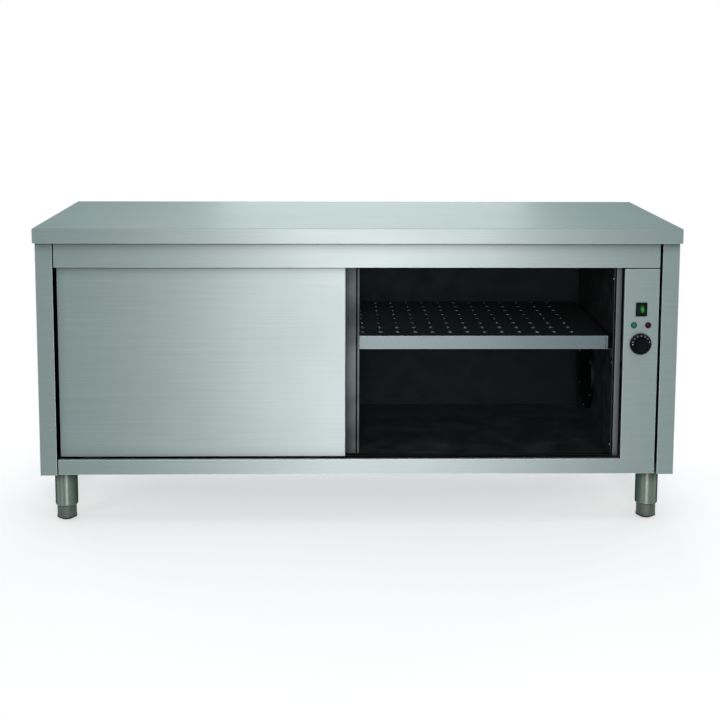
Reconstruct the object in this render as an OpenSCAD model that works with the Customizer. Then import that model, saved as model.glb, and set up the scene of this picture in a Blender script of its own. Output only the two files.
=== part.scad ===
// Heated plate cabinet with two hanging sliding doors, a perforated shelf and a fan heater.
// The origin is at the middle of the floor area, the front faces -Y and the worktop is up.

/* [Worktop] */
// Width of the worktop
top_w = 1800; // [1500:10:2000]
// Depth of the worktop
top_d = 700; // [650:10:800]
// Height of the worktop above the floor
top_h = 850; // [830:5:950]
// Height of the folded fascia
fascia_h = 42; // [36:1:50]
// Thickness of the worktop sheet
top_sheet = 1.2; // [1:0.1:2]
// Outside radius of the folded top edges
top_edge_r = 4; // [2.2:0.1:6]
// Depth of the lip folded in under the front fascia
fascia_lip = 12; // [6:1:14]
// Thickness of the board under the worktop sheet
board_t = 18; // [15:1:22]

/* [Shell] */
// Thickness of the body sheets
sheet = 1; // [0.8:0.1:1.2]
// Distance from the worktop's front edge back to the front frame
front_overhang = 20; // [16:1:30]
// Distance from the worktop's ends in to the side panels
side_overhang = 3; // [2:1:15]
// Distance from the worktop's back edge to the back panel
rear_overhang = 2; // [2:1:10]
// Height of the underside of the sides above the floor
underside_h = 143; // [130:1:160]
// Width of the front stiles
stile_w = 47; // [40:1:55]
// Depth of the flanges folded at the back of the side panels
back_flange = 18; // [12:1:25]
// Height of the base pan's upturned edge
base_edge_h = 24; // [16:1:30]

/* [Front frame] */
// Gap between the left stile and the rails
left_frame_gap = 4; // [3:0.5:8]
// Gap between the right stile and the control panel
right_frame_gap = 8; // [4:0.5:12]
// Height of the upper rail that shows under the fascia
upper_rail_show = 70; // [60:1:80]
// Height of the lower rail
lower_rail_h = 42.5; // [36:0.5:50]
// Height of the lower rail's edge above the underside of the sides
lower_rail_lift = 2.5; // [1:0.5:6]
// Width of the control panel
panel_w = 97; // [90:1:120]
// Gap between the upper rail and the control panel
panel_top_gap = 4; // [2:0.5:8]
// Depth of the flanges folded back round the front frame
frame_flange = 10; // [8:0.5:10.5]

/* [Warm cavity] */
// Distance from the board under the worktop down to the cavity's ceiling
ceiling_gap = 85.8; // [76:0.1:130]
// Thickness of the insulation at the back
back_insulation_t = 46; // [30:1:60]
// Width of the side bay for the heater and the switches, from the cavity wall to the side panel
bay_w = 167; // [160:1:200]
// Depth of the flanges folded out round the inner sheets
inner_flange = 24; // [15:1:28]

/* [Doors] */
// Thickness of a door
door_t = 22; // [20:1:24]
// Distance from the front frame back to the front door
door_recess = 12; // [12:0.5:16]
// Gap between the two doors, and between the rear door and the cavity
door_gap = 4; // [4:0.5:6]
// Gap between the left stile and the front door's edge
finger_gap = 9; // [6:0.5:12]
// Width over which the closed doors cover each other
door_lap = 38; // [20:1:60]
// Width of the rear door that stays in reach behind the front door
pull_reveal = 40; // [35:1:60]
// Height of the doors behind the upper rail
door_tuck = 14; // [8:1:16]
// Gap between a door's lower edge and the lower rail's top
door_lift = 7; // [4:0.5:9]
// Width of the groove in the rear door's pull edge
pull_groove_w = 3.5; // [3:0.5:8]
// Depth of the groove in the rear door's pull edge
pull_groove_d = 12; // [8:0.5:14]
// Width of the lip outside the groove
pull_lip_w = 6; // [4:0.5:8]
// Height cut away at the upper end of the lip
pull_lip_notch = 24; // [16:1:40]

/* [Running gear] */
// Distance from a door's edge to the middle of its hanger
hanger_inset = 90; // [60:1:140]
// Length of a hanger bracket
hanger_l = 44; // [34:1:60]
// Thickness of the hanger plate
hanger_t = 2.5; // [2:0.5:3]
// Radius of the roller at the bottom of its groove
roller_root_r = 11; // [9:0.5:12]
// Height of the roller's rims above the bottom of its groove
roller_rim_h = 3; // [2:0.5:4]
// Width of a roller
roller_w = 9; // [8:0.5:10]
// Radius of the axles
axle_r = 3; // [2.5:0.25:3.5]
// Thickness of the track's lips
track_lip_t = 2.5; // [2:0.25:3]
// Height of the track's lips
track_lip_h = 12; // [10:0.5:14]
// Thickness of the track's web and plates
track_t = 2; // [1.5:0.25:2.5]
// Height from the doors' upper edge to the underside of the track
track_lift = 20; // [18:0.5:24]
// Length of a rubber buffer
buffer_l = 12; // [8:1:20]
// Width of the slots in the lower guide
guide_slot_w = 4; // [3.5:0.25:6]
// Depth of the slots in the lower guide
guide_slot_d = 14; // [10:0.5:18]
// Length of a guide blade
guide_blade_l = 50; // [30:1:70]

/* [Jamb] */
// Width of the jamb profile
jamb_w = 15; // [12:0.5:18]
// Gap between the closed rear door and the jamb
jamb_gap = 1; // [0.5:0.25:2]

/* [Shelf] */
// Height of the shelf above the cavity floor
shelf_rise = 343; // [200:1:400]
// Height of the shelf's folded edge
shelf_edge_h = 38; // [25:1:45]
// Distance from the cavity's front to the shelf
shelf_setback = 10; // [5:1:60]
// Gap between the shelf and the cavity's end walls
shelf_end_gap = 12; // [8:1:14]
// Diameter of the holes
hole_d = 15; // [10:0.5:20]
// Distance between the holes along the shelf
hole_pitch_x = 50.5; // [40:0.5:80]
// Distance between the rows of holes
hole_pitch_y = 67; // [50:0.5:90]
// Least distance from the shelf's ends to the first hole's middle
hole_margin_x = 84; // [40:1:120]
// Distance from the shelf's front edge to the first row of holes
hole_margin_y = 57; // [40:1:90]

/* [Legs] */
// Diameter of a leg tube
leg_d = 64; // [50:1:70]
// Wall of a leg tube
leg_wall = 1.5; // [1:0.25:2]
// Width of a leg plate
leg_plate_w = 100; // [84:1:106]
// Thickness of a leg plate
leg_plate_t = 3; // [3:0.5:4]
// Distance from the side panel's outside to the middle of a leg
leg_inset_x = 61; // [56:1:90]
// Distance from the front frame or the back panel to the middle of a leg
leg_inset_y = 60; // [56:1:100]
// Diameter of a foot
foot_d = 57; // [44:1:60]
// Height of a foot with its pad
foot_h = 43; // [34:1:55]
// Height of a foot's pad
pad_h = 9; // [6:0.5:12]
// Radius of a foot's threaded stem
stem_r = 8; // [6:0.5:10]
// Height by which a foot can be screwed out
foot_travel = 30; // [10:1:40]

/* [Controls] */
// Height of the switch above the lower rail's underside
switch_rise = 474; // [400:1:540]
// Width of the switch frame
switch_w = 31; // [24:1:34]
// Height of the switch frame
switch_h = 38; // [30:1:42]
// Angle of the rocker to the panel when it is on
rocker_tilt = 8; // [6:1:10]
// Height of the pilot lamps above the lower rail's underside
lamp_rise = 429; // [380:1:440]
// Distance between the pilot lamps
lamp_spread = 40; // [34:1:60]
// Diameter of a pilot lamp's lens
lamp_d = 15.5; // [10:0.5:18]
// Height of the knob above the lower rail's underside
knob_rise = 375.5; // [300:0.5:380]
// Diameter of the knob's skirt
knob_d = 60; // [40:1:70]
// Diameter of the knob's grip
grip_d = 38; // [30:1:46]
// Height of the knob
knob_h = 24; // [18:1:30]
// Radius of the thermostat's spindle
spindle_r = 3; // [2.5:0.25:4]

/* [Fan heater] */
// Height of the fan's axis above the cavity floor
fan_rise = 150; // [130:1:200]
// Distance from the cavity's back wall to the fan's axis
fan_back = 190; // [150:1:260]
// Diameter of the impeller
impeller_d = 130; // [100:1:150]
// Width of the impeller's blades
impeller_w = 34; // [24:1:40]
// Number of blades
blade_count = 18; // [8:1:30]
// Diameter of the element's ring
element_d = 176; // [166:1:200]
// Diameter of the element's tube
element_tube_d = 8; // [6:0.5:8.5]

/* [Hidden] */

// Smoothness of large and of small round forms
fine = 96;
small = 48;
// Distance by which a cutting shape passes the face it cuts
past = 1;
// Gap between curved or moving pieces that all but touch
seat = 0.3;
// Radial play of a shaft in its hole
running = 0.05;

steel = "#b9c0be";
dark_steel = "#5a605f";
wool = "#c9bf8e";
rubber_black = "#1c1c1e";

// Planes of the outer body
half_w = top_w / 2;
half_d = top_d / 2;
body_x = half_w - side_overhang;
front_y = -half_d + front_overhang;
back_y = half_d - rear_overhang;
board_z = top_h - top_sheet - board_t;
fascia_z = top_h - fascia_h;
base_z = underside_h + leg_plate_t;
stile_x = body_x - stile_w;

// Front frame
frame_left = -stile_x + left_frame_gap;
frame_right = stile_x - right_frame_gap;
frame_w = frame_right - frame_left;
rail_z = underside_h + lower_rail_lift;
sill_top = rail_z + lower_rail_h;
upper_rail_z = fascia_z - upper_rail_show;
panel_top = upper_rail_z - panel_top_gap;
panel_x = frame_right - panel_w;
panel_mid = frame_right - panel_w / 2;
frame_back = front_y + frame_flange;

// Doors, from the front to the back
front_door_y = front_y + door_recess;
rear_door_y = front_door_y + door_t + door_gap;
cavity_front = rear_door_y + door_t + door_gap;
door_bottom = sill_top + door_lift;
door_top = upper_rail_z + door_tuck;
door_h = door_top - door_bottom;
jamb_x = panel_x - jamb_w;
door_start = -stile_x + finger_gap;
door_end = jamb_x - jamb_gap;
door_w = (door_end - door_start + door_lap) / 2;
door_travel = door_end - door_start - door_w - pull_reveal;
rear_start = door_start + pull_reveal;
pull_w = pull_groove_w + pull_lip_w;

// Cavity
sill_drop = 2;
floor_z = sill_top - sill_drop;
ceiling_z = board_z - ceiling_gap;
cavity_h = ceiling_z - floor_z;
cavity_left = -stile_x - sheet;
cavity_right = body_x - bay_w - sheet;
cavity_back = back_y - sheet - back_insulation_t - sheet;

// Running gear, worked out round the middle plane between the doors
gear_mid_y = (front_door_y + rear_door_y + door_t) / 2;
lane = (door_t + door_gap) / 2;
track_z = door_top + track_lift;
lip_top = track_z + track_t + track_lip_h;
roller_z = lip_top + seat + roller_root_r;
rim_r = roller_root_r + roller_rim_h;
groove_r = track_lip_t / 2 + seat;
plate_from_lane = door_t / 2 - hanger_t;
track_left = -stile_x + seat;
track_right = panel_x - past;

// Shelf
shelf_top = floor_z + shelf_rise;
shelf_left = cavity_left + shelf_end_gap;
shelf_right = cavity_right - shelf_end_gap;
shelf_w = shelf_right - shelf_left;
shelf_y = cavity_front + shelf_setback;
shelf_rear_gap = 8;
bracket_t = 2;
bracket_l = 26;
bracket_h = 22;
shelf_d = cavity_back - shelf_rear_gap - shelf_y;
hole_columns = floor((shelf_w - 2 * hole_margin_x) / hole_pitch_x) + 1;
hole_rows = floor((shelf_d - hole_margin_y - hole_d) / hole_pitch_y) + 1;

// Legs
leg_x = body_x - leg_inset_x;
leg_front_y = front_y + leg_inset_y;
leg_back_y = back_y - leg_inset_y;
collar_h = 3;
tube_z = foot_h + collar_h;
insert_h = 30;
stem_h = insert_h + foot_travel;

// Controls
switch_z = rail_z + switch_rise;
lamp_z = rail_z + lamp_rise;
knob_z = rail_z + knob_rise;
panel_back = front_y + sheet;
switch_lap = 2.5;
switch_body_w = switch_w - 2 * switch_lap;
switch_body_h = switch_h - 2 * switch_lap;
switch_body_d = 24;
switch_rim = 2.2;
switch_side_bar = 6;
switch_end_bar = 5.5;
rocker_w = switch_w - 2 * switch_side_bar;
rocker_h = switch_h - 2 * switch_end_bar;
rocker_pin_r = 1.5;
rocker_depth = 4;
rocker_y = front_y + rocker_depth;
lens_lap = 2;
lamp_body_r = lamp_d / 2 - lens_lap;
bush_r = 5;
bush_l = 8;
spindle_out = 16;
spindle_round_l = 7;
spindle_flat = 1;

// Fan heater
fan_z = floor_z + fan_rise;
fan_y = cavity_back - fan_back;
wall_out = cavity_right + sheet;
fan_gap = 5;
fan_x0 = wall_out + fan_gap;
cover_margin = 22;
cover_r = element_d / 2 + cover_margin;
drum_t = 1;
drum_gap = 6;
drum_end = impeller_w + drum_gap;
motor_r = 36;
motor_l = 62;
motor_shaft_r = 4;
shaft_l = 30;
element_pin_l = 14;
element_bush_wall = 1.5;
element_bush_r = element_tube_d / 2 + element_bush_wall;

// Mains gland
gland_thread_r = 10;
gland_bore_r = 5.5;
gland_inset = 40;
gland_x = body_x - bay_w / 2;
gland_y = fan_y + cover_r - gland_inset;

// A box given by its lowest and highest corners
module span(low, high) {
  translate(low) cube(high - low);
}

function unit(v) = v / norm(v);
function left_of(v) = [-v[1], v[0]];
function edge_dir(path, i) = unit(path[i + 1] - path[i]);
// Offset of the fold at point i: the mitre of the two sheets that meet there
function mitre(path, i) =
  let (
    last = len(path) - 1,
    before = left_of(edge_dir(path, max(i - 1, 0))),
    after = left_of(edge_dir(path, min(i, last - 1))),
    both = before + after
  )
  both / (1 + before * after);

// Outline of a sheet folded along a path; the thickness lies to the left of the way it runs
module folded(path, thickness) {
  last = len(path) - 1;
  inner = [for (i = [last : -1 : 0]) path[i] + thickness * mitre(path, i)];
  polygon(concat(path, inner));
}

// Carries a profile drawn in depth and height along the cabinet's width
module along_x(x0, x1) {
  translate([x0, 0, 0]) rotate([90, 0, 90]) linear_extrude(x1 - x0) children();
}

// Carries a profile drawn in width and height along the cabinet's depth
module along_y(y0, y1) {
  translate([0, y1, 0]) rotate([90, 0, 0]) linear_extrude(y1 - y0) children();
}

// Turns a form made round +Z so that it points out of the front, to -Y
module facing_front() {
  rotate([90, 0, 0]) children();
}

// Puts copies at the four legs
module at_legs() {
  for (x = [-leg_x, leg_x]) {
    for (y = [leg_front_y, leg_back_y]) {
      translate([x, y, 0]) children();
    }
  }
}

// Section across a pan that is open below and has rounded upper edges
module pan_section(half, low, high, r) {
  translate([-half, low]) square([2 * half, high - low - r]);
  translate([-half + r, low]) square([2 * (half - r), high - low]);
  for (side = [-1, 1]) {
    translate([side * (half - r), high - r]) circle(r, $fn = small);
  }
}

// The solid under a rounded pan's surface
module pan_block(half_x, half_y, low, high, r) {
  intersection() {
    along_x(-half_x, half_x) pan_section(half_y, low, high, r);
    along_y(-half_y, half_y) pan_section(half_x, low, high, r);
  }
}

module worktop() {
  lip_y = -half_d + top_sheet;
  color(steel) {
    difference() {
      pan_block(half_w, half_d, fascia_z, top_h, top_edge_r);
      pan_block(half_w - top_sheet, half_d - top_sheet, fascia_z - past, top_h - top_sheet,
        top_edge_r - top_sheet);
    }
    span([-half_w + top_sheet, lip_y, fascia_z],
      [half_w - top_sheet, lip_y + fascia_lip, fascia_z + top_sheet]);
  }
}

module worktop_board() {
  inset = top_edge_r + seat;
  color("#8a6a45")
    span([-half_w + inset, -half_d + inset, board_z], [half_w - inset, half_d - inset, top_h - top_sheet]);
}

// Plan of a side panel: back flange, side, front stile and the return beside the doors
module side_plan(return_y) {
  folded([
    [-body_x + back_flange, back_y],
    [-body_x, back_y],
    [-body_x, front_y],
    [-stile_x, front_y],
    [-stile_x, return_y]
  ], sheet);
}

// The return is short beside the base pan and reaches back to the cavity above it
module side_panel_solid() {
  deep_z = base_z + base_edge_h + seat;
  translate([0, 0, underside_h]) linear_extrude(deep_z - underside_h) side_plan(frame_back);
  translate([0, 0, deep_z]) linear_extrude(board_z - deep_z) side_plan(cavity_front);
}

module left_side_panel() {
  color(steel) side_panel_solid();
}

module right_side_panel() {
  color(steel) mirror([1, 0, 0]) side_panel_solid();
}

// Louvres that let the side bay breathe through the back panel
module louvre_slots() {
  slot_w = 70;
  slot_h = 5;
  slot_pitch = 14;
  slot_count = 6;
  slot_x = body_x - bay_w / 2;
  for (i = [0 : slot_count - 1]) {
    translate([slot_x - slot_w / 2, back_y - 2 * sheet - past, ceiling_z - slot_pitch * (i + 2)])
      cube([slot_w, sheet + 2 * past, slot_h]);
  }
}

module back_panel() {
  edge = body_x - sheet - seat;
  color(steel) difference() {
    span([-edge, back_y - 2 * sheet, base_z], [edge, back_y - sheet, board_z]);
    louvre_slots();
  }
}

module base_pan() {
  edge_x = body_x - sheet - seat;
  y0 = frame_back + seat;
  y1 = back_y - 2 * sheet;
  color(steel) difference() {
    span([-edge_x, y0, base_z], [edge_x, y1, base_z + base_edge_h]);
    span([-edge_x + sheet, y0 + sheet, base_z + sheet],
      [edge_x - sheet, y1 - sheet, base_z + base_edge_h + past]);
    translate([gland_x, gland_y, base_z - past])
      cylinder(r = gland_thread_r + seat, h = sheet + 2 * past, $fn = small);
  }
}

module upper_rail() {
  top_flange = 16;
  color(steel) along_x(frame_left, frame_right)
    folded([
      [front_y + top_flange, board_z],
      [front_y, board_z],
      [front_y, upper_rail_z],
      [frame_back, upper_rail_z]
    ], sheet);
}

// Openings of the switch, the lamps and the spindle in the control panel
module control_cutouts() {
  depth = sheet + 2 * past;
  translate([panel_mid - switch_body_w / 2, front_y - past, switch_z - switch_body_h / 2])
    cube([switch_body_w, depth, switch_body_h]);
  for (side = [-1, 1]) {
    translate([panel_mid + side * lamp_spread / 2, front_y - past + depth, lamp_z]) facing_front()
      cylinder(r = lamp_body_r + seat, h = depth, $fn = small);
  }
  translate([panel_mid, front_y - past + depth, knob_z]) facing_front()
    cylinder(r = bush_r + seat, h = depth, $fn = small);
}

// Outline of the front panel: the lower rail with the control panel standing on its right end
module front_panel_outline() {
  polygon([
    [frame_left, rail_z],
    [frame_right, rail_z],
    [frame_right, panel_top],
    [panel_x, panel_top],
    [panel_x, sill_top],
    [frame_left, sill_top]
  ]);
}

module front_panel() {
  color(steel) difference() {
    union() {
      along_y(front_y, panel_back) front_panel_outline();
      along_y(panel_back, frame_back) difference() {
        front_panel_outline();
        translate([frame_left + sheet, rail_z + sheet])
          square([frame_w - 2 * sheet, lower_rail_h - 2 * sheet]);
        translate([panel_x + sheet, rail_z + sheet])
          square([panel_w - 2 * sheet, panel_top - rail_z - 2 * sheet]);
      }
    }
    control_cutouts();
  }
}

module right_jamb() {
  x1 = jamb_x + jamb_w;
  y0 = rear_door_y;
  color(steel) translate([0, 0, floor_z]) linear_extrude(upper_rail_z - floor_z + door_tuck)
    folded([[x1, cavity_front], [x1, y0], [jamb_x, y0], [jamb_x, cavity_front]], -sheet);
}

// Half of the track's section, on the side of the front door
module track_half() {
  lip_r = track_lip_t / 2;
  translate([-lane - lip_r, track_z]) square([lane + lip_r, track_t]);
  translate([-lane - lip_r, track_z]) square([track_lip_t, track_t + track_lip_h - lip_r]);
  translate([-lane, lip_top - lip_r]) circle(lip_r, $fn = small);
  translate([-track_t / 2, track_z]) square([track_t / 2, board_z - track_z]);
  translate([-lane, board_z - track_t]) square([lane, track_t]);
}

module door_track() {
  color(dark_steel) translate([0, gear_mid_y, 0]) along_x(track_left, track_right) {
    track_half();
    mirror([1, 0, 0]) track_half();
  }
}

// A rubber block pushed over a lip, with its middle at x
module buffer(x, lane_y) {
  half_t = 5;
  lip_r = track_lip_t / 2;
  z0 = track_z + track_t;
  difference() {
    span([x - buffer_l / 2, lane_y - half_t, z0], [x + buffer_l / 2, lane_y + half_t, roller_z]);
    span([x - buffer_l, lane_y - lip_r, z0 - past], [x + buffer_l, lane_y + lip_r, lip_top]);
  }
}

// Buffers at both ends of one door's travel
module lane_buffers(start, lane_y) {
  reach = rim_r + seat + buffer_l / 2;
  buffer(start + hanger_inset - reach, lane_y);
  buffer(start + door_w - hanger_inset + door_travel + reach, lane_y);
}

module track_buffers() {
  color(rubber_black) {
    lane_buffers(door_start, gear_mid_y - lane);
    lane_buffers(rear_start, gear_mid_y + lane);
  }
}

// Section of the lower guide: a sill with a slot under the middle of each door
module guide_section() {
  inner = guide_slot_w / 2;
  y0 = frame_back + seat + sheet;
  y1 = cavity_front;
  a = gear_mid_y - lane;
  b = gear_mid_y + lane;
  leg_z = base_z + sheet;
  deep = floor_z - guide_slot_d;
  folded([
    [y0, leg_z],
    [y0, floor_z],
    [a - inner, floor_z],
    [a - inner, deep],
    [a + inner, deep],
    [a + inner, floor_z],
    [b - inner, floor_z],
    [b - inner, deep],
    [b + inner, deep],
    [b + inner, floor_z],
    [y1, floor_z],
    [y1, leg_z]
  ], -sheet);
}

module lower_guide() {
  color(steel) along_x(-stile_x + seat, panel_x) guide_section();
}

module inner_left_wall() {
  color(dark_steel) span([cavity_left - sheet, cavity_front, floor_z], [cavity_left, cavity_back, ceiling_z]);
}

module inner_right_wall() {
  color(dark_steel) difference() {
    span([cavity_right, cavity_front, floor_z], [wall_out, cavity_back, ceiling_z]);
    translate([cavity_right - past, fan_y, fan_z]) rotate([0, 90, 0])
      cylinder(d = element_d + element_tube_d + 2 * seat, h = sheet + 2 * past, $fn = fine);
  }
}

module inner_back_wall() {
  color(dark_steel)
    span([cavity_left - sheet, cavity_back, floor_z], [wall_out, cavity_back + sheet, ceiling_z]);
}

// Flat inner sheet with its front edge folded away from the cavity
module cavity_sheet(z, up) {
  x0 = cavity_left - inner_flange;
  x1 = cavity_right + inner_flange;
  translate([0, 0, z]) mirror([0, 0, up > 0 ? 0 : 1]) {
    span([x0, cavity_front, 0], [x1, cavity_back + sheet, sheet]);
    span([x0, cavity_front, 0], [x1, cavity_front + sheet, inner_flange]);
  }
}

module inner_ceiling() {
  color(dark_steel) cavity_sheet(ceiling_z, 1);
}

module inner_floor() {
  color(dark_steel) cavity_sheet(floor_z, -1);
}

module insulation() {
  x0 = -body_x + sheet + seat;
  x1 = cavity_left - sheet;
  y0 = cavity_front + sheet;
  y1 = back_y - 2 * sheet;
  low_y1 = y1 - sheet - seat;
  color(wool) {
    span([x0, y0, floor_z], [x1, y1, ceiling_z]);
    span([x1, cavity_back + sheet, floor_z], [cavity_right, y1, ceiling_z]);
    span([cavity_left - inner_flange, y0, ceiling_z + sheet], [cavity_right, y1, board_z]);
    span([cavity_left - inner_flange, y0, base_z + sheet], [cavity_right, low_y1, floor_z - sheet]);
  }
}

// Positions of the holes in the shelf
function hole_x(i) = shelf_left + (shelf_w - (hole_columns - 1) * hole_pitch_x) / 2 + i * hole_pitch_x;
function hole_y(j) = shelf_y + hole_margin_y + j * hole_pitch_y;

// Stiffener folded to a hat, spot welded under the shelf
module shelf_stiffener(y) {
  hat_h = 18;
  brim = 10;
  hole_gap = 1;
  hat_w = hole_pitch_y - hole_d - 2 * (brim + hole_gap);
  z = shelf_top - sheet;
  along_x(shelf_left + sheet, shelf_right - sheet)
    folded([
      [y - hat_w / 2 - brim, z],
      [y - hat_w / 2, z],
      [y - hat_w / 2, z - hat_h],
      [y + hat_w / 2, z - hat_h],
      [y + hat_w / 2, z],
      [y + hat_w / 2 + brim, z]
    ], -sheet);
}

// Seams beside the tabs that the end folds wrap round the front edge
module corner_seams() {
  tab_w = 5;
  seam_w = 1;
  z0 = shelf_top - shelf_edge_h + sheet;
  z1 = shelf_top - sheet;
  for (x = [shelf_left + tab_w, shelf_right - tab_w - seam_w]) {
    span([x, shelf_y - past, z0], [x + seam_w, shelf_y + sheet, z1]);
  }
}

module shelf() {
  x1 = shelf_right;
  y1 = shelf_y + shelf_d;
  lip = 12;
  z0 = shelf_top - shelf_edge_h;
  color(steel) difference() {
    union() {
      difference() {
        span([shelf_left, shelf_y, z0], [x1, y1, shelf_top]);
        span([shelf_left + sheet, shelf_y + sheet, z0 - past], [x1 - sheet, y1 - sheet, shelf_top - sheet]);
      }
      for (y = [shelf_y, y1 - lip]) {
        span([shelf_left + sheet, y, z0], [x1 - sheet, y + lip, z0 + sheet]);
      }
      for (j = [1, hole_rows - 3]) {
        shelf_stiffener(hole_y(j) + hole_pitch_y / 2);
      }
    }
    corner_seams();
    for (i = [0 : hole_columns - 1]) {
      for (j = [0 : hole_rows - 1]) {
        translate([hole_x(i), hole_y(j), shelf_top - sheet - past])
          cylinder(d = hole_d, h = sheet + 2 * past, $fn = small);
      }
    }
  }
}

// Angle bracket under one corner of the shelf
module shelf_bracket() {
  under = 14;
  translate([0, -bracket_l / 2, 0]) {
    cube([shelf_end_gap + under, bracket_l, bracket_t]);
    translate([0, 0, -bracket_h]) cube([bracket_t, bracket_l, bracket_h + bracket_t]);
  }
}

module at_shelf_corners() {
  corner_gap = 5;
  inset = bracket_l / 2 + corner_gap;
  z = shelf_top - shelf_edge_h - bracket_t;
  for (y = [shelf_y + inset, shelf_y + shelf_d - inset]) {
    translate([cavity_left, y, z]) children();
    translate([cavity_right, y, z]) mirror([1, 0, 0]) children();
  }
}

module shelf_brackets() {
  color(steel) at_shelf_corners() shelf_bracket();
}

// Flat domed head, on a wall that faces +X
module rivet(r) {
  dome_r = 1.6 * r;
  rotate([0, 90, 0]) rotate_extrude($fn = small) intersection() {
    translate([0, -r]) circle(dome_r, $fn = small);
    square([r, r]);
  }
}

module wall_rivets() {
  rivet_r = 3;
  edge = 14;
  bracket_gap = 16.5;
  ceiling_drop = 52;
  lowest = 23;
  middle = shelf_rise - shelf_edge_h - bracket_t - bracket_h - bracket_gap;
  highest = cavity_h - ceiling_drop;
  color(steel) {
    for (z = [lowest, middle, highest]) {
      translate([cavity_left, cavity_front + edge, floor_z + z]) rivet(rivet_r);
      translate([cavity_right, cavity_front + edge, floor_z + z]) mirror([1, 0, 0]) rivet(rivet_r);
    }
  }
}

// Plan of a door's outline; the pull edge adds a groove and a lip at its right end
module door_plan(start, y, pull) {
  x1 = start + door_w;
  difference() {
    translate([start, y]) square([door_w, door_t]);
    if (pull) {
      translate([x1 - pull_w, y - past]) square([pull_groove_w, pull_groove_d + past]);
    }
  }
}

// Plan of the folded outer sheet
module skin_plan(start, y, pull) {
  x1 = start + door_w;
  x2 = pull ? x1 - pull_w : x1;
  groove = [[x2, y], [x2, y + pull_groove_d], [x1 - pull_lip_w, y + pull_groove_d], [x1 - pull_lip_w, y]];
  path = concat([[start, y + door_t], [start, y]], pull ? groove : [], [[x1, y], [x1, y + door_t]]);
  folded(path, sheet);
}

module door_skin(start, y, pull) {
  difference() {
    union() {
      translate([0, 0, door_bottom]) linear_extrude(door_h) skin_plan(start, y, pull);
      for (z = [door_bottom, door_top - sheet]) {
        translate([0, 0, z]) linear_extrude(sheet) door_plan(start, y, pull);
      }
    }
    if (pull) {
      x1 = start + door_w;
      span([x1 - pull_lip_w, y - past, door_top - pull_lip_notch],
        [x1 + past, y + pull_groove_d, door_top + past]);
    }
  }
}

module door_liner(start, y) {
  span([start + sheet, y + door_t - sheet, door_bottom + sheet],
    [start + door_w - sheet, y + door_t, door_top - sheet]);
}

module door_core(start, y, pull) {
  x1 = start + door_w - sheet - (pull ? pull_w : 0);
  span([start + sheet, y + sheet, door_bottom + sheet], [x1, y + door_t - sheet, door_top - sheet]);
}

// Hanger with its axle, for a roller whose middle is at the origin; the plate is on the -Y side
module hanger() {
  plate_y = -plate_from_lane - hanger_t;
  foot_z = door_top - roller_z;
  foot_margin = 4;
  foot_reach = door_t - foot_margin;
  head_t = 1.6;
  head_r = axle_r + 2;
  plate_margin = 7;
  plate_top = axle_r + plate_margin;
  span([-hanger_l / 2, plate_y, foot_z], [hanger_l / 2, plate_y + hanger_t, plate_top]);
  span([-hanger_l / 2, plate_y, foot_z], [hanger_l / 2, plate_y + foot_reach, foot_z + hanger_t]);
  translate([0, roller_w / 2 + seat + head_t, 0]) facing_front() {
    cylinder(r = head_r, h = head_t, $fn = small);
    cylinder(r = axle_r, h = roller_w / 2 + seat + head_t - plate_y, $fn = small);
  }
  translate([0, -roller_w / 2 - seat, 0]) facing_front()
    cylinder(r = head_r, h = plate_from_lane - roller_w / 2 - seat, $fn = small);
}

// Puts a copy at both hangers of a door; side is -1 for the front lane and 1 for the rear lane
module at_hanger(x, side) {
  translate([x, gear_mid_y + side * lane, roller_z]) mirror([0, side > 0 ? 1 : 0, 0]) children();
}

module door_hangers(start, side) {
  for (x = [start + hanger_inset, start + door_w - hanger_inset]) {
    at_hanger(x, side) hanger();
  }
}

module roller() {
  facing_front() translate([0, 0, -roller_w / 2]) rotate_extrude($fn = fine) difference() {
    translate([axle_r + running, 0]) square([rim_r - axle_r - running, roller_w]);
    translate([roller_root_r + groove_r, roller_w / 2]) circle(groove_r, $fn = small);
    translate([roller_root_r + groove_r, roller_w / 2 - groove_r]) square([rim_r, 2 * groove_r]);
  }
}

module door_guides(start, y) {
  play = 0.5;
  blade_half = guide_slot_w / 2 - play;
  pad_t = 3;
  pad_half = door_t / 3;
  tip_gap = 3;
  blade_z = floor_z - guide_slot_d + tip_gap;
  mid = y + door_t / 2;
  for (x = [start + hanger_inset, start + door_w - hanger_inset]) {
    x0 = x - guide_blade_l / 2;
    x1 = x + guide_blade_l / 2;
    span([x0, mid - pad_half, door_bottom - pad_t], [x1, mid + pad_half, door_bottom]);
    span([x0, mid - blade_half, blade_z], [x1, mid + blade_half, door_bottom]);
  }
}

module front_door_skin() {
  color(steel) door_skin(door_start, front_door_y, false);
}

module front_door_liner() {
  color(steel) door_liner(door_start, front_door_y);
}

module front_door_core() {
  color(wool) door_core(door_start, front_door_y, false);
}

module front_door_hangers() {
  color(dark_steel) door_hangers(door_start, -1);
}

module front_door_guides() {
  color("ivory") door_guides(door_start, front_door_y);
}

module front_left_roller() {
  color("ivory") at_hanger(door_start + hanger_inset, -1) roller();
}

module front_right_roller() {
  color("ivory") at_hanger(door_start + door_w - hanger_inset, -1) roller();
}

module rear_door_skin() {
  color(steel) door_skin(rear_start, rear_door_y, true);
}

module rear_door_liner() {
  color(steel) door_liner(rear_start, rear_door_y);
}

module rear_door_core() {
  color(wool) door_core(rear_start, rear_door_y, true);
}

module rear_door_hangers() {
  color(dark_steel) door_hangers(rear_start, 1);
}

module rear_door_guides() {
  color("ivory") door_guides(rear_start, rear_door_y);
}

module rear_left_roller() {
  color("ivory") at_hanger(rear_start + hanger_inset, 1) roller();
}

module rear_right_roller() {
  color("ivory") at_hanger(rear_start + door_w - hanger_inset, 1) roller();
}

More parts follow.
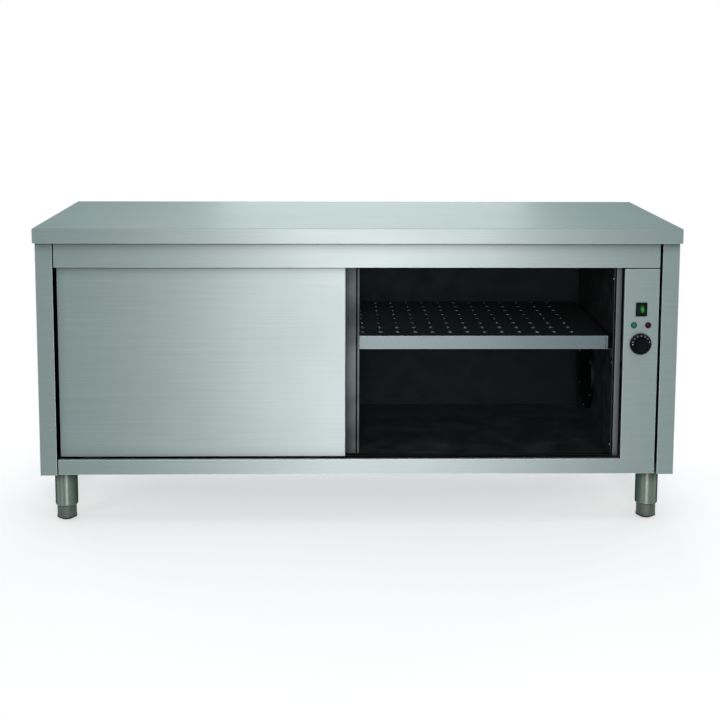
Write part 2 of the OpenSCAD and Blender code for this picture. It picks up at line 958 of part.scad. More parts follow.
// The switch's body passes the panel, and its frame lies on it
module switch_housing() {
  w = rocker_w + 2 * seat;
  swing_gap = 1;
  h = rocker_h + 2 * swing_gap;
  depth = 12;
  pin_hole_l = 2;
  color(rubber_black) difference() {
    union() {
      span([panel_mid - switch_w / 2, front_y - switch_rim, switch_z - switch_h / 2],
        [panel_mid + switch_w / 2, front_y, switch_z + switch_h / 2]);
      span([panel_mid - switch_body_w / 2 + seat, front_y - past, switch_z - switch_body_h / 2 + seat],
        [panel_mid + switch_body_w / 2 - seat, front_y + switch_body_d, switch_z + switch_body_h / 2 - seat]);
    }
    span([panel_mid - w / 2, front_y - switch_rim - past, switch_z - h / 2],
      [panel_mid + w / 2, front_y + depth, switch_z + h / 2]);
    translate([panel_mid - rocker_w / 2 - pin_hole_l, rocker_y, switch_z]) rotate([0, 90, 0])
      cylinder(r = rocker_pin_r + running, h = rocker_w + 2 * pin_hole_l, $fn = small);
  }
}

// Rocker drawn level: two flat wings that meet in a shallow valley, over a round belly with two pins
module rocker_solid() {
  crown = 5.4;
  valley = 3.6;
  belly = 5;
  heel = 0.6;
  pin_l = 1.5;
  translate([-rocker_w / 2, 0, 0]) rotate([90, 0, 90]) linear_extrude(rocker_w)
    polygon([
      [-crown, -rocker_h / 2],
      [-valley, 0],
      [-crown, rocker_h / 2],
      [0, rocker_h / 2 - heel],
      [belly, rocker_h / 4],
      [belly, -rocker_h / 4],
      [0, -rocker_h / 2 + heel]
    ]);
  translate([-rocker_w / 2 - pin_l, 0, 0]) rotate([0, 90, 0])
    cylinder(r = rocker_pin_r, h = rocker_w + 2 * pin_l, $fn = small);
}

module switch_rocker() {
  color("#1f8a3c") translate([panel_mid, rocker_y, switch_z]) rotate([-rocker_tilt, 0, 0]) rocker_solid();
}

// Pilot lamp: domed lens on a round body with a nut behind the panel
module pilot_lamp(side) {
  lens_h = 3;
  body_l = 22;
  nut_t = 4;
  lens_r = lamp_d / 2;
  sphere_r = (lens_r * lens_r + lens_h * lens_h) / (2 * lens_h);
  translate([panel_mid + side * lamp_spread / 2, front_y, lamp_z]) {
    facing_front() {
      rotate_extrude($fn = fine) intersection() {
        translate([0, lens_h - sphere_r]) circle(sphere_r, $fn = 2 * fine);
        square([lens_r, lens_h]);
      }
      translate([0, 0, -body_l]) cylinder(r = lamp_body_r, h = body_l, $fn = small);
    }
    translate([0, sheet + nut_t, 0]) facing_front()
      cylinder(r = lens_r, h = nut_t, $fn = 6);
  }
}

module green_pilot_lamp() {
  color("#2f7d5a") pilot_lamp(-1);
}

module red_pilot_lamp() {
  color("#7a1030") pilot_lamp(1);
}

// Thermostat: bush through the panel, body behind it
module thermostat() {
  body_w = 44;
  body_h = 36;
  body_d = 26;
  nut_r = 8;
  nut_t = 2.5;
  thread_past = 0.6;
  end_gap = 4;
  color("#c8c8c4") translate([panel_mid, front_y, knob_z]) difference() {
    union() {
      translate([0, panel_back - front_y, 0]) facing_front()
        cylinder(r = bush_r, h = panel_back - front_y + nut_t + thread_past, $fn = small);
      facing_front() cylinder(r = nut_r, h = nut_t, $fn = 6);
      span([-body_w / 2, panel_back - front_y, -body_h / 2],
        [body_w / 2, panel_back - front_y + body_d, body_h / 2]);
    }
    translate([0, bush_l + end_gap, 0]) facing_front()
      cylinder(r = spindle_r + running, h = bush_l + end_gap + nut_t + thread_past + past, $fn = small);
  }
}

module knob_spindle() {
  color(steel) translate([panel_mid, front_y, knob_z]) {
    translate([0, bush_l, 0]) facing_front()
      cylinder(r = spindle_r, h = bush_l + spindle_round_l, $fn = small);
    translate([0, -spindle_round_l, 0]) facing_front() difference() {
      cylinder(r = spindle_r, h = spindle_out - spindle_round_l, $fn = small);
      translate([-spindle_r, spindle_r - spindle_flat, -past])
        cube([2 * spindle_r, 2 * spindle_flat, spindle_out]);
    }
  }
}

// Knob: skirt, waisted grip with flutes, and a socket for the spindle's flat
module knob() {
  skirt_t = 4;
  skirt_slope = 1.5;
  cone_w = 3;
  cone_top = skirt_t + 5;
  crown_bevel = 2;
  clear = 1.5;
  flute_r = 3;
  flute_depth = 1;
  flutes = 24;
  nut_space_r = 11;
  nut_space_h = 3;
  grip_r = grip_d / 2;
  color(rubber_black) translate([panel_mid, front_y - clear, knob_z]) facing_front() difference() {
    rotate_extrude($fn = fine) polygon([
      [0, 0],
      [knob_d / 2, 0],
      [knob_d / 2, skirt_t / 2],
      [knob_d / 2 - skirt_slope, skirt_t],
      [grip_r + cone_w, skirt_t + cone_w],
      [grip_r, cone_top],
      [grip_r, knob_h - crown_bevel],
      [grip_r - crown_bevel, knob_h],
      [0, knob_h]
    ]);
    for (i = [0 : flutes - 1]) {
      rotate((i + 0.5) * 360 / flutes) translate([grip_r + flute_r - flute_depth, 0, cone_top + past])
        cylinder(r = flute_r, h = knob_h, $fn = small);
    }
    translate([0, 0, -past]) cylinder(r = nut_space_r, h = past + nut_space_h, $fn = small);
    difference() {
      cylinder(r = spindle_r, h = spindle_out - clear + seat, $fn = small);
      translate([-spindle_r, spindle_r - spindle_flat, spindle_round_l - clear])
        cube([2 * spindle_r, 2 * spindle_flat, spindle_out]);
    }
  }
}

// Round cover over the fan, with rings of slots
module fan_cover() {
  rim_h = 9;
  rings = 3;
  slots = 16;
  slot_l = 16;
  slot_w = 4;
  rib = 6;
  color(dark_steel) translate([cavity_right - rim_h, fan_y, fan_z]) rotate([0, 90, 0]) difference() {
    cylinder(r = cover_r, h = rim_h, $fn = fine);
    translate([0, 0, sheet]) cylinder(r = cover_r - sheet, h = rim_h, $fn = fine);
    for (ring = [0 : rings - 1]) {
      for (i = [0 : slots - 1]) {
        rotate(i * 360 / slots) translate([slot_l + (slot_l + rib) * ring, -slot_w / 2, -past])
          cube([slot_l, slot_w, sheet + 2 * past]);
      }
    }
  }
}

module fan_impeller() {
  r = impeller_d / 2;
  disc_t = 1.5;
  hub_r = 10;
  hub_l = 22;
  blade_start = 0.62 * r;
  blade_l = 0.36 * r;
  blade_lean = 35;
  color("#9aa0a0") translate([fan_x0, fan_y, fan_z]) rotate([0, 90, 0]) {
    translate([0, 0, impeller_w]) cylinder(r = r, h = disc_t, $fn = fine);
    translate([0, 0, impeller_w - hub_l]) cylinder(r = hub_r, h = hub_l, $fn = small);
    translate([0, 0, impeller_w - hub_l / 2])
      cylinder(r = motor_shaft_r, h = hub_l / 2 + shaft_l, $fn = small);
    for (i = [0 : blade_count - 1]) {
      rotate(i * 360 / blade_count) translate([blade_start, 0, 0]) rotate(blade_lean)
        cube([blade_l, disc_t, impeller_w + disc_t / 2]);
    }
  }
}

// Motor with the drum that closes the fan's space behind the wall
module fan_motor() {
  drum_l = drum_end + fan_gap;
  color("#8d9494") translate([fan_x0, fan_y, fan_z]) rotate([0, 90, 0]) difference() {
    union() {
      translate([0, 0, -fan_gap]) cylinder(r = cover_r, h = drum_l, $fn = fine);
      translate([0, 0, drum_end]) cylinder(r = motor_r, h = motor_l, $fn = fine);
    }
    translate([0, 0, -fan_gap - past]) cylinder(r = cover_r - drum_t, h = drum_l + past - drum_t, $fn = fine);
    translate([0, 0, drum_end - past - drum_t])
      cylinder(r = motor_shaft_r + running, h = motor_l, $fn = small);
    at_element_ends() cylinder(r = element_bush_r + seat, h = drum_end + past, $fn = small);
  }
}

// Places of the element's two straight ends, on the ring's own radius
module at_element_ends() {
  half_angle = 8;
  for (side = [-1, 1]) {
    rotate(side * half_angle) translate([element_d / 2, 0, 0]) children();
  }
}

module heating_element() {
  first = element_tube_d;
  turn_gap = 4;
  bush_z = first - past;
  color("#6d5a4c") translate([fan_x0, fan_y, fan_z]) rotate([0, 90, 0]) {
    for (turn = [0, 1]) {
      translate([0, 0, first + turn * (element_tube_d + turn_gap)]) rotate_extrude($fn = small)
        translate([element_d / 2, 0]) circle(d = element_tube_d, $fn = small / 3);
    }
    at_element_ends() translate([0, 0, bush_z])
      cylinder(r = element_bush_r, h = drum_end + element_pin_l - first, $fn = small);
  }
}

module terminal_block() {
  way_w = 12;
  ways = 5;
  h = 24;
  d = 30;
  wire_r = 3;
  from_back = 60;
  above_pan = 60;
  x0 = body_x - sheet - h - seat;
  y0 = cavity_back - from_back;
  z0 = base_z + base_edge_h + above_pan;
  color("ivory") difference() {
    span([x0, y0, z0], [x0 + h, y0 + d, z0 + ways * way_w]);
    for (i = [0 : ways - 1]) {
      translate([x0 - past, y0 + d / 2, z0 + way_w * (i + 0.5)]) rotate([0, 90, 0])
        cylinder(r = wire_r, h = h / 2, $fn = small);
    }
  }
}

// Gland in the base pan under the side bay, with its dome pointing down
module cable_gland() {
  dome_r = 13;
  dome_tip_r = 9;
  dome_l = 14;
  nut_r = 14;
  nut_t = 6;
  lock_t = 5;
  thread_l = 14;
  color(rubber_black) translate([gland_x, gland_y, base_z]) mirror([0, 0, 1]) difference() {
    union() {
      translate([0, 0, -thread_l]) cylinder(r = gland_thread_r, h = thread_l, $fn = small);
      cylinder(r = nut_r, h = nut_t, $fn = 6);
      translate([0, 0, nut_t]) cylinder(r1 = dome_r, r2 = dome_tip_r, h = dome_l, $fn = small);
      translate([0, 0, -sheet - lock_t]) cylinder(r = nut_r, h = lock_t, $fn = 6);
    }
    translate([0, 0, -thread_l - past])
      cylinder(r = gland_bore_r, h = thread_l + nut_t + dome_l + 2 * past, $fn = small);
  }
}

module legs() {
  half = leg_plate_w / 2;
  tube_l = underside_h - tube_z;
  color(steel) at_legs() {
    translate([-half, -half, underside_h]) cube([leg_plate_w, leg_plate_w, leg_plate_t]);
    translate([0, 0, tube_z]) difference() {
      cylinder(d = leg_d, h = tube_l, $fn = fine);
      translate([0, 0, -past]) cylinder(r = leg_d / 2 - leg_wall, h = tube_l + past, $fn = fine);
    }
  }
}

module leg_inserts() {
  plug_r = leg_d / 2 - leg_wall - running;
  color("#8f9695") at_legs() translate([0, 0, foot_h]) difference() {
    union() {
      cylinder(r1 = (foot_d / 2 + leg_d / 2) / 2, r2 = leg_d / 2, h = collar_h, $fn = fine);
      translate([0, 0, collar_h]) cylinder(r = plug_r, h = insert_h - collar_h, $fn = fine);
    }
    translate([0, 0, -past]) cylinder(r = stem_r + running, h = insert_h + 2 * past, $fn = small);
  }
}

module foot(x, y) {
  rim = 1;
  flange_t = 2;
  r = foot_d / 2;
  color("#9aa19f") translate([x, y, 0]) {
    translate([0, 0, pad_h]) rotate_extrude($fn = fine) polygon([
      [0, 0],
      [r, 0],
      [r, flange_t],
      [r - rim, flange_t + rim],
      [r - rim, foot_h - pad_h - seat - rim],
      [r - 2 * rim, foot_h - pad_h - seat],
      [0, foot_h - pad_h - seat]
    ]);
    translate([0, 0, foot_h - seat - past]) cylinder(r = stem_r, h = stem_h + past, $fn = small);
  }
}

module pad(x, y) {
  taper = 12;
  rim_h = pad_h / 4;
  r = foot_d / 2;
  color(rubber_black) translate([x, y, 0]) rotate_extrude($fn = fine) polygon([
    [0, 0],
    [r - taper, 0],
    [r, pad_h - rim_h],
    [r, pad_h],
    [0, pad_h]
  ]);
}

module front_left_foot() { foot(-leg_x, leg_front_y); }
module front_right_foot() { foot(leg_x, leg_front_y); }
module rear_left_foot() { foot(-leg_x, leg_back_y); }
module rear_right_foot() { foot(leg_x, leg_back_y); }
module front_left_pad() { pad(-leg_x, leg_front_y); }
module front_right_pad() { pad(leg_x, leg_front_y); }
module rear_left_pad() { pad(-leg_x, leg_back_y); }
module rear_right_pad() { pad(leg_x, leg_back_y); }

worktop();
worktop_board();
left_side_panel();
right_side_panel();
back_panel();
base_pan();
upper_rail();
front_panel();
right_jamb();
door_track();
track_buffers();
lower_guide();
inner_left_wall();
inner_right_wall();
inner_back_wall();
inner_ceiling();
inner_floor();
insulation();
shelf();
shelf_brackets();
wall_rivets();
front_door_skin();
front_door_liner();
front_door_core();
front_door_hangers();
front_door_guides();
front_left_roller();
front_right_roller();
rear_door_skin();
rear_door_liner();
rear_door_core();
rear_door_hangers();
rear_door_guides();
rear_left_roller();
rear_right_roller();
switch_housing();
switch_rocker();
green_pilot_lamp();
red_pilot_lamp();
thermostat();
knob_spindle();
knob();
fan_cover();
fan_impeller();
fan_motor();
heating_element();
terminal_block();
cable_gland();
legs();
leg_inserts();
front_left_foot();
front_right_foot();
rear_left_foot();
rear_right_foot();
front_left_pad();
front_right_pad();
rear_left_pad();
rear_right_pad();
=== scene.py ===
"""Finishes, small fittings, studio and camera for the heated plate cabinet."""
import logging
import math
from dataclasses import dataclass, field
from enum import Enum
from typing import Any, Sequence

import bmesh
import bpy
from mathutils import Matrix, Vector


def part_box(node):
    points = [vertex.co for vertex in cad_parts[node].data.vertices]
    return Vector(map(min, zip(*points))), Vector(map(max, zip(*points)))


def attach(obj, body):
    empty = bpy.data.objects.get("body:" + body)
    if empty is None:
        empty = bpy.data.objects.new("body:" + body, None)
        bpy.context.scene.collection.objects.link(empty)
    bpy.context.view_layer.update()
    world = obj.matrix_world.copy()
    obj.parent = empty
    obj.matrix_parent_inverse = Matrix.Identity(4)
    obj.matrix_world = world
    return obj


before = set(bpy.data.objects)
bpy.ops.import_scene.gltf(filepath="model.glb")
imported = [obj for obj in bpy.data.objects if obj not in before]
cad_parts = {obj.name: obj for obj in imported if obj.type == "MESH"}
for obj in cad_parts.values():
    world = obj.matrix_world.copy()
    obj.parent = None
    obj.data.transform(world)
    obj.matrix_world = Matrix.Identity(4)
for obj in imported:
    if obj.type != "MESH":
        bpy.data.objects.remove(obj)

LOG = logging.getLogger("plate_cabinet")
MM = 0.001
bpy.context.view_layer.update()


class Side(Enum):
    """Faces of the cabinet, each with the direction that points out of it."""

    FRONT = (0.0, -1.0, 0.0)
    BACK = (0.0, 1.0, 0.0)
    LEFT = (-1.0, 0.0, 0.0)
    DOWN = (0.0, 0.0, -1.0)

    def turn(self) -> Matrix:
        """Rotation that carries +Z to this side's outward direction."""
        return Vector((0.0, 0.0, 1.0)).rotation_difference(Vector(self.value)).to_matrix().to_4x4()


class HeadStyle(Enum):
    """Kinds of fastener heads on the sheets."""

    POP_RIVET = "pop rivet"
    CROSS_SCREW = "cross screw"
    HEX_BOLT = "hex bolt"


def linear(hex_code: str) -> tuple[float, float, float, float]:
    """Turns an sRGB hex colour to linear RGBA.

    Args:
        hex_code: Colour as "#rrggbb".

    Returns:
        Linear red, green, blue and an alpha of 1.
    """
    channels = []
    for start in (1, 3, 5):
        value = int(hex_code[start:start + 2], 16) / 255
        channels.append(value / 12.92 if value <= 0.04045 else ((value + 0.055) / 1.055) ** 2.4)
    return (channels[0], channels[1], channels[2], 1.0)


def add(tree: bpy.types.NodeTree, kind: str, inputs: dict | None = None, **settings: Any) -> bpy.types.Node:
    """Adds a node, sets its properties, and fills or links its inputs.

    Args:
        tree: Tree that gets the node.
        kind: Node type.
        inputs: Input names or places, each with a value or with the socket to link from.
        **settings: Properties of the node.

    Returns:
        The new node.
    """
    node = tree.nodes.new(kind)
    for name, value in settings.items():
        setattr(node, name, value)
    for key, value in (inputs or {}).items():
        if isinstance(value, bpy.types.NodeSocket):
            tree.links.new(value, node.inputs[key])
        else:
            node.inputs[key].default_value = value
    return node


def maths(tree: bpy.types.NodeTree, operation: str, *values: Any) -> bpy.types.NodeSocket:
    """Adds a Math node, with a number or a socket for each input in order, and returns its output."""
    return add(tree, "ShaderNodeMath", dict(enumerate(values)), operation=operation).outputs[0]


def spread(tree: bpy.types.NodeTree, value: bpy.types.NodeSocket, start: float, end: float, low: float = 0.0,
           high: float = 1.0, way: str = "LINEAR") -> bpy.types.NodeSocket:
    """Maps start to end onto low to high, never outside them, and returns the output."""
    ranges = {"Value": value, "From Min": start, "From Max": end, "To Min": low, "To Max": high}
    return add(tree, "ShaderNodeMapRange", ranges, interpolation_type=way).outputs[0]


def noise(tree: bpy.types.NodeTree, place: bpy.types.NodeSocket, scale: float, detail: float = 2.0,
          roughness: float = 0.5, distortion: float = 0.0) -> bpy.types.NodeSocket:
    """Adds a noise texture and returns its factor."""
    return add(tree, "ShaderNodeTexNoise", {"Vector": place, "Scale": scale, "Detail": detail,
                                            "Roughness": roughness, "Distortion": distortion}).outputs[0]


def emboss(tree: bpy.types.NodeTree, shader: bpy.types.Node, strength: float, depth: float,
           height: bpy.types.NodeSocket, **normal: bpy.types.NodeSocket) -> None:
    """Bumps a shader's surface by a height pattern; depth is in metres."""
    bump = add(tree, "ShaderNodeBump", {"Strength": strength, "Distance": depth, "Height": height, **normal})
    tree.links.new(bump.outputs[0], shader.inputs["Normal"])


@dataclass(frozen=True)
class Finish:
    """A finish with one shader; the kinds below add their own pattern to it."""

    name: str
    colour: str
    metallic: float = 0.0
    roughness: float = 0.5

    def material(self) -> bpy.types.Material:
        """Returns the finish's material, and makes it the first time."""
        found = bpy.data.materials.get(self.name)
        if found:
            return found
        made = bpy.data.materials.new(self.name)
        made.use_nodes = True
        tree = made.node_tree
        tree.nodes.clear()
        shader = add(tree, "ShaderNodeBsdfPrincipled", {
            "Base Color": linear(self.colour), "Metallic": self.metallic, "Roughness": self.roughness})
        add(tree, "ShaderNodeOutputMaterial", {"Surface": shader.outputs[0]})
        self.dress(tree, shader)
        return made

    def dress(self, tree: bpy.types.NodeTree, shader: bpy.types.Node) -> None:
        """Adds the pattern of this kind of finish.

        Args:
            tree: The material's tree.
            shader: Its Principled shader.
        """
        raise NotImplementedError

    def shades(self, tree: bpy.types.NodeTree, factor: bpy.types.NodeSocket,
               dark: float, light: float) -> bpy.types.NodeSocket:
        """Spreads the finish's own colour between a darker and a lighter tone.

        Args:
            tree: The material's tree.
            factor: Pattern that chooses the tone.
            dark: Share of the colour where the factor is 0.
            light: Share of the colour where the factor is 1.

        Returns:
            The colour output.
        """
        base = linear(self.colour)
        tones = [tuple(min(1.0, c * share) for c in base[:3]) + (1.0,) for share in (dark, light)]
        mix = add(tree, "ShaderNodeMix", {"Factor": factor, "A": tones[0], "B": tones[1]}, data_type="RGBA")
        return next(s for s in mix.outputs if s.type == "RGBA")


@dataclass(frozen=True)
class BrushedStainless(Finish):
    """Stainless sheet, belt brushed along its length.

    Fine straight streaks run along the sheet, and highlights are drawn out across them. The colour also holds painted
    shade in seams and recesses, a painted highlight on bent edges, and painted shade on upward faces and pull strips.
    """

    metallic: float = 1.0
    streak_mm: float = 3.2
    streak_length_mm: float = 260.0
    contrast: float = 0.055
    edge_radius_mm: float = 2.2
    edge_tint: str = "#c8cccc"
    # The fields below set painted light in the colour: shade in seams and recesses, a highlight on bent edges, shade
    # on upward faces and shade on a door's pull strip
    seam_mm: float = 35.0
    seam_share: float = 0.05
    edge_share: float = 2.0
    flat_share: float = 1.0
    pull_from: float = math.inf
    pull_share: float = 1.0

    def dress(self, tree: bpy.types.NodeTree, shader: bpy.types.Node) -> None:
        """Adds the brushing.

        Real brush lines are about 0.1 mm apart; they are drawn 3 mm wide, as coarse as the picture shows.

        Args:
            tree: The material's tree.
            shader: Its Principled shader.
        """
        place = add(tree, "ShaderNodeTexCoord").outputs["Object"]
        normal = add(tree, "ShaderNodeNewGeometry").outputs["Normal"]
        facing = add(tree, "ShaderNodeSeparateXYZ", {0: normal})
        # On the end faces the sheet was brushed from front to back instead of from end to end
        on_end = maths(tree, "GREATER_THAN", maths(tree, "ABSOLUTE", facing.outputs["X"]), 0.7)
        across, along = 1 / (self.streak_mm * MM), 1 / (self.streak_length_mm * MM)
        scale = add(tree, "ShaderNodeMix", {
            "Factor": on_end, "A": (along, across, across), "B": (across, along, across)}, data_type="VECTOR")
        scale_out = next(s for s in scale.outputs if s.type == "VECTOR")
        stretched = add(tree, "ShaderNodeVectorMath", {0: place, 1: scale_out}, operation="MULTIPLY").outputs[0]
        streaks = noise(tree, stretched, 1.0, detail=5.0, roughness=0.62)
        sharp = spread(tree, streaks, 0.32, 0.68)
        tint = self.shades(tree, sharp, 1.0 - self.contrast, 1.0 + self.contrast)
        # Painted shade: upward faces take a darker share of the colour
        flat = spread(tree, facing.outputs["Z"], 0.7, 0.9, low=1.0, high=self.flat_share)
        # Painted shade: the colour darkens where other surfaces close in, in seams, in recesses and under overhangs
        open_air = add(tree, "ShaderNodeAmbientOcclusion", {"Distance": self.seam_mm * MM}, samples=8).outputs["AO"]
        painted_seam_shade = spread(tree, open_air, 0.3, 0.97, low=self.seam_share)
        rounded = add(tree, "ShaderNodeBevel", {"Radius": self.edge_radius_mm * MM}, samples=6).outputs[0]
        # Painted highlight: the colour brightens where the rounded normal turns away from the face's own, along bent
        # edges
        level = add(tree, "ShaderNodeVectorMath", {0: rounded, 1: normal}, operation="DOT_PRODUCT").outputs["Value"]
        painted_edge_highlight = spread(tree, level, 0.995, 0.9, low=1.0, high=self.edge_share)
        share = maths(tree, "MULTIPLY", maths(tree, "MULTIPLY", painted_seam_shade, flat), painted_edge_highlight)
        if self.pull_from < math.inf:
            share = self.dulled_pull(tree, place, share)
        tint_with_painted_light = add(tree, "ShaderNodeVectorMath", {0: tint, "Scale": share}, operation="SCALE")
        tree.links.new(tint_with_painted_light.outputs[0], shader.inputs["Base Color"])
        shader.inputs["Specular Tint"].default_value = linear(self.edge_tint)
        # Slow change from the hands and cloths that wiped the sheet
        rough = maths(tree, "MULTIPLY_ADD", noise(tree, place, 3.5), 0.08, self.roughness - 0.06)
        tree.links.new(maths(tree, "MULTIPLY_ADD", sharp, 0.05, rough), shader.inputs["Roughness"])
        emboss(tree, shader, 0.10, 0.1 * MM, streaks, Normal=rounded)
        # The small second number keeps a direction on faces that look along X
        brush = add(tree, "ShaderNodeVectorMath", {0: normal, 1: (1.0, 0.02, 0.0)}, operation="CROSS_PRODUCT")
        lie = add(tree, "ShaderNodeVectorMath", {0: brush.outputs[0]}, operation="NORMALIZE").outputs[0]
        tree.links.new(lie, shader.inputs["Tangent"])
        shader.inputs["Anisotropic"].default_value = 0.9

    def dulled_pull(self, tree: bpy.types.NodeTree, place: bpy.types.NodeSocket,
                    share: bpy.types.NodeSocket) -> bpy.types.NodeSocket:
        """Paints shade on the folded pull at a door's right edge, as a darker share of the colour with a little random
        variation in it.

        Args:
            tree: The material's tree.
            place: Object coordinates.
            share: Share of the brushed colour so far.

        Returns:
            The share with the pull's painted shade in it.
        """
        along = add(tree, "ShaderNodeSeparateXYZ", {0: place}).outputs["X"]
        on_pull = spread(tree, along, self.pull_from, self.pull_from + 1 * MM)
        pull_shade = spread(tree, noise(tree, place, 9.0), 0.35, 0.65, 0.6 * self.pull_share, 1.4 * self.pull_share)
        blend = add(tree, "ShaderNodeMix", {"Factor": on_pull, 2: 1.0, 3: pull_shade}, data_type="FLOAT").outputs[0]
        return maths(tree, "MULTIPLY", share, blend)


@dataclass(frozen=True)
class RolledSteel(Finish):
    """Inner sheet as it left the rolls and the heat, dull and a little blotched."""

    metallic: float = 1.0
    blotch_mm: float = 45.0

    def dress(self, tree: bpy.types.NodeTree, shader: bpy.types.Node) -> None:
        """Adds rolling grain and heat blotches.

        Args:
            tree: The material's tree.
            shader: Its Principled shader.
        """
        place = add(tree, "ShaderNodeTexCoord").outputs["Object"]
        blotches = noise(tree, place, 1 / (self.blotch_mm * MM), detail=3.0)
        tree.links.new(self.shades(tree, blotches, 0.82, 1.18), shader.inputs["Base Color"])
        rough = spread(tree, blotches, 0.3, 0.7, self.roughness - 0.07, self.roughness + 0.07)
        tree.links.new(rough, shader.inputs["Roughness"])
        emboss(tree, shader, 0.2, 0.1 * MM, noise(tree, place, 900.0, roughness=0.6))


@dataclass(frozen=True)
class PunchedRim(RolledSteel):
    """Rim that a punch leaves round a hole, with painted light: full colour on the front rows, painted shade on the
    middle rows and a faint painted glint on the back rows.
    """

    rubbed_to: float = -0.03
    rubbed_from: float = 0.19
    burnt_share: float = 0.04
    back_share: float = 0.12
    fade: float = 30 * MM

    def dress(self, tree: bpy.types.NodeTree, shader: bpy.types.Node) -> None:
        """Adds the rolled steel's pattern, paints shade on it behind the front rows, and gives the back rows a faint
        painted glint.

        Args:
            tree: The material's tree.
            shader: Its Principled shader.
        """
        super().dress(tree, shader)
        depth = add(tree, "ShaderNodeSeparateXYZ", {
            0: add(tree, "ShaderNodeTexCoord").outputs["Object"]}).outputs["Y"]
        # Painted light: the front rows keep their colour, the rows behind get painted shade, and the back rows a faint
        # painted glint
        front = spread(tree, depth, self.rubbed_to, self.rubbed_to + self.fade, 1.0, self.burnt_share)
        back = spread(tree, depth, self.rubbed_from - self.fade, self.rubbed_from, 0.0, self.back_share)
        share = maths(tree, "ADD", front, back)
        tone = shader.inputs["Base Color"].links[0].from_socket
        painted_row_light = add(tree, "ShaderNodeVectorMath", {0: tone, "Scale": share}, operation="SCALE").outputs[0]
        tree.links.new(painted_row_light, shader.inputs["Base Color"])


@dataclass(frozen=True)
class ZincPlate(Finish):
    """Steel dipped in zinc: flat crystals that each catch the light in their own way."""

    metallic: float = 1.0
    roughness: float = 0.42
    spangle_mm: float = 7.0

    def dress(self, tree: bpy.types.NodeTree, shader: bpy.types.Node) -> None:
        """Adds the zinc crystals.

        Args:
            tree: The material's tree.
            shader: Its Principled shader.
        """
        place = add(tree, "ShaderNodeTexCoord").outputs["Object"]
        crystals = add(tree, "ShaderNodeTexVoronoi", {
            "Vector": place, "Scale": 1 / (self.spangle_mm * MM), "Randomness": 1.0})
        tone = add(tree, "ShaderNodeSeparateColor", {0: crystals.outputs["Color"]}).outputs[0]
        tree.links.new(self.shades(tree, tone, 0.84, 1.12), shader.inputs["Base Color"])
        rough = spread(tree, tone, 0.0, 1.0, self.roughness - 0.1, self.roughness + 0.1)
        tree.links.new(rough, shader.inputs["Roughness"])


@dataclass(frozen=True)
class SandCast(Finish):
    """Aluminium or zinc cast in sand and tumbled: a fine, even pebble on every face."""

    metallic: float = 1.0
    pebble_mm: float = 0.9

    def dress(self, tree: bpy.types.NodeTree, shader: bpy.types.Node) -> None:
        """Adds the pebble and darker hollows.

        Args:
            tree: The material's tree.
            shader: Its Principled shader.
        """
        place = add(tree, "ShaderNodeTexCoord").outputs["Object"]
        stain = noise(tree, place, 60.0)
        tree.links.new(self.shades(tree, stain, 0.8, 1.15), shader.inputs["Base Color"])
        pebble = noise(tree, place, 1 / (self.pebble_mm * MM), detail=3.0, roughness=0.6)
        emboss(tree, shader, 0.35, 0.2 * MM, pebble)


@dataclass(frozen=True)
class Moulded(Finish):
    """Plastic or rubber from a mould: the tool's fine spark texture and a soft sheen."""

    roughness: float = 0.42
    texture_mm: float = 0.5
    depth: float = 0.18
    specular: float = 0.5

    def dress(self, tree: bpy.types.NodeTree, shader: bpy.types.Node) -> None:
        """Adds the mould's texture and a little dust in the colour.

        Args:
            tree: The material's tree.
            shader: Its Principled shader.
        """
        place = add(tree, "ShaderNodeTexCoord").outputs["Object"]
        dust = noise(tree, place, 70.0, detail=3.0)
        tree.links.new(self.shades(tree, dust, 0.9, 1.1), shader.inputs["Base Color"])
        rough = spread(tree, dust, 0.3, 0.7, self.roughness - 0.04, self.roughness + 0.06)
        tree.links.new(rough, shader.inputs["Roughness"])
        emboss(tree, shader, self.depth, 0.1 * MM, noise(tree, place, 1 / (self.texture_mm * MM), roughness=0.55))
        shader.inputs["Specular IOR Level"].default_value = self.specular


@dataclass(frozen=True)
class LampLens(Finish):
    """Tinted polycarbonate lens, moulded with prisms behind a polished face; the lamp behind it glows."""

    roughness: float = 0.22
    prism_mm: float = 1.6
    glow: str = "#2f7d5a"
    glow_strength: float = 0.2
    centre: tuple[float, float, float] = (0.0, 0.0, 0.0)
    glow_radius_mm: float = 7.0
    glow_height: float = 1.0

    def dress(self, tree: bpy.types.NodeTree, shader: bpy.types.Node) -> None:
        """Adds the prisms and a glow that fades from the lens's middle.

        Args:
            tree: The material's tree.
            shader: Its Principled shader.
        """
        place = add(tree, "ShaderNodeTexCoord").outputs["Object"]
        prisms = add(tree, "ShaderNodeTexVoronoi", {
            "Vector": place, "Scale": 1 / (self.prism_mm * MM), "Randomness": 0.15}).outputs["Distance"]
        tree.links.new(self.shades(tree, prisms, 1.15, 0.7), shader.inputs["Base Color"])
        emboss(tree, shader, 0.25, 0.3 * MM, prisms)
        away = add(tree, "ShaderNodeVectorMath", {0: place, 1: self.centre}, operation="SUBTRACT").outputs[0]
        drawn = add(tree, "ShaderNodeVectorMath", {0: away, 1: (1.0, 1.0, 1.0 / self.glow_height)},
                    operation="MULTIPLY").outputs[0]
        reach = add(tree, "ShaderNodeVectorMath", {0: drawn}, operation="LENGTH").outputs["Value"]
        fade = spread(tree, reach, 0.0, self.glow_radius_mm * MM, self.glow_strength, 0.0, way="SMOOTHSTEP")
        shader.inputs["Emission Color"].default_value = linear(self.glow)
        tree.links.new(fade, shader.inputs["Emission Strength"])
        shader.inputs["Specular IOR Level"].default_value = 0.05


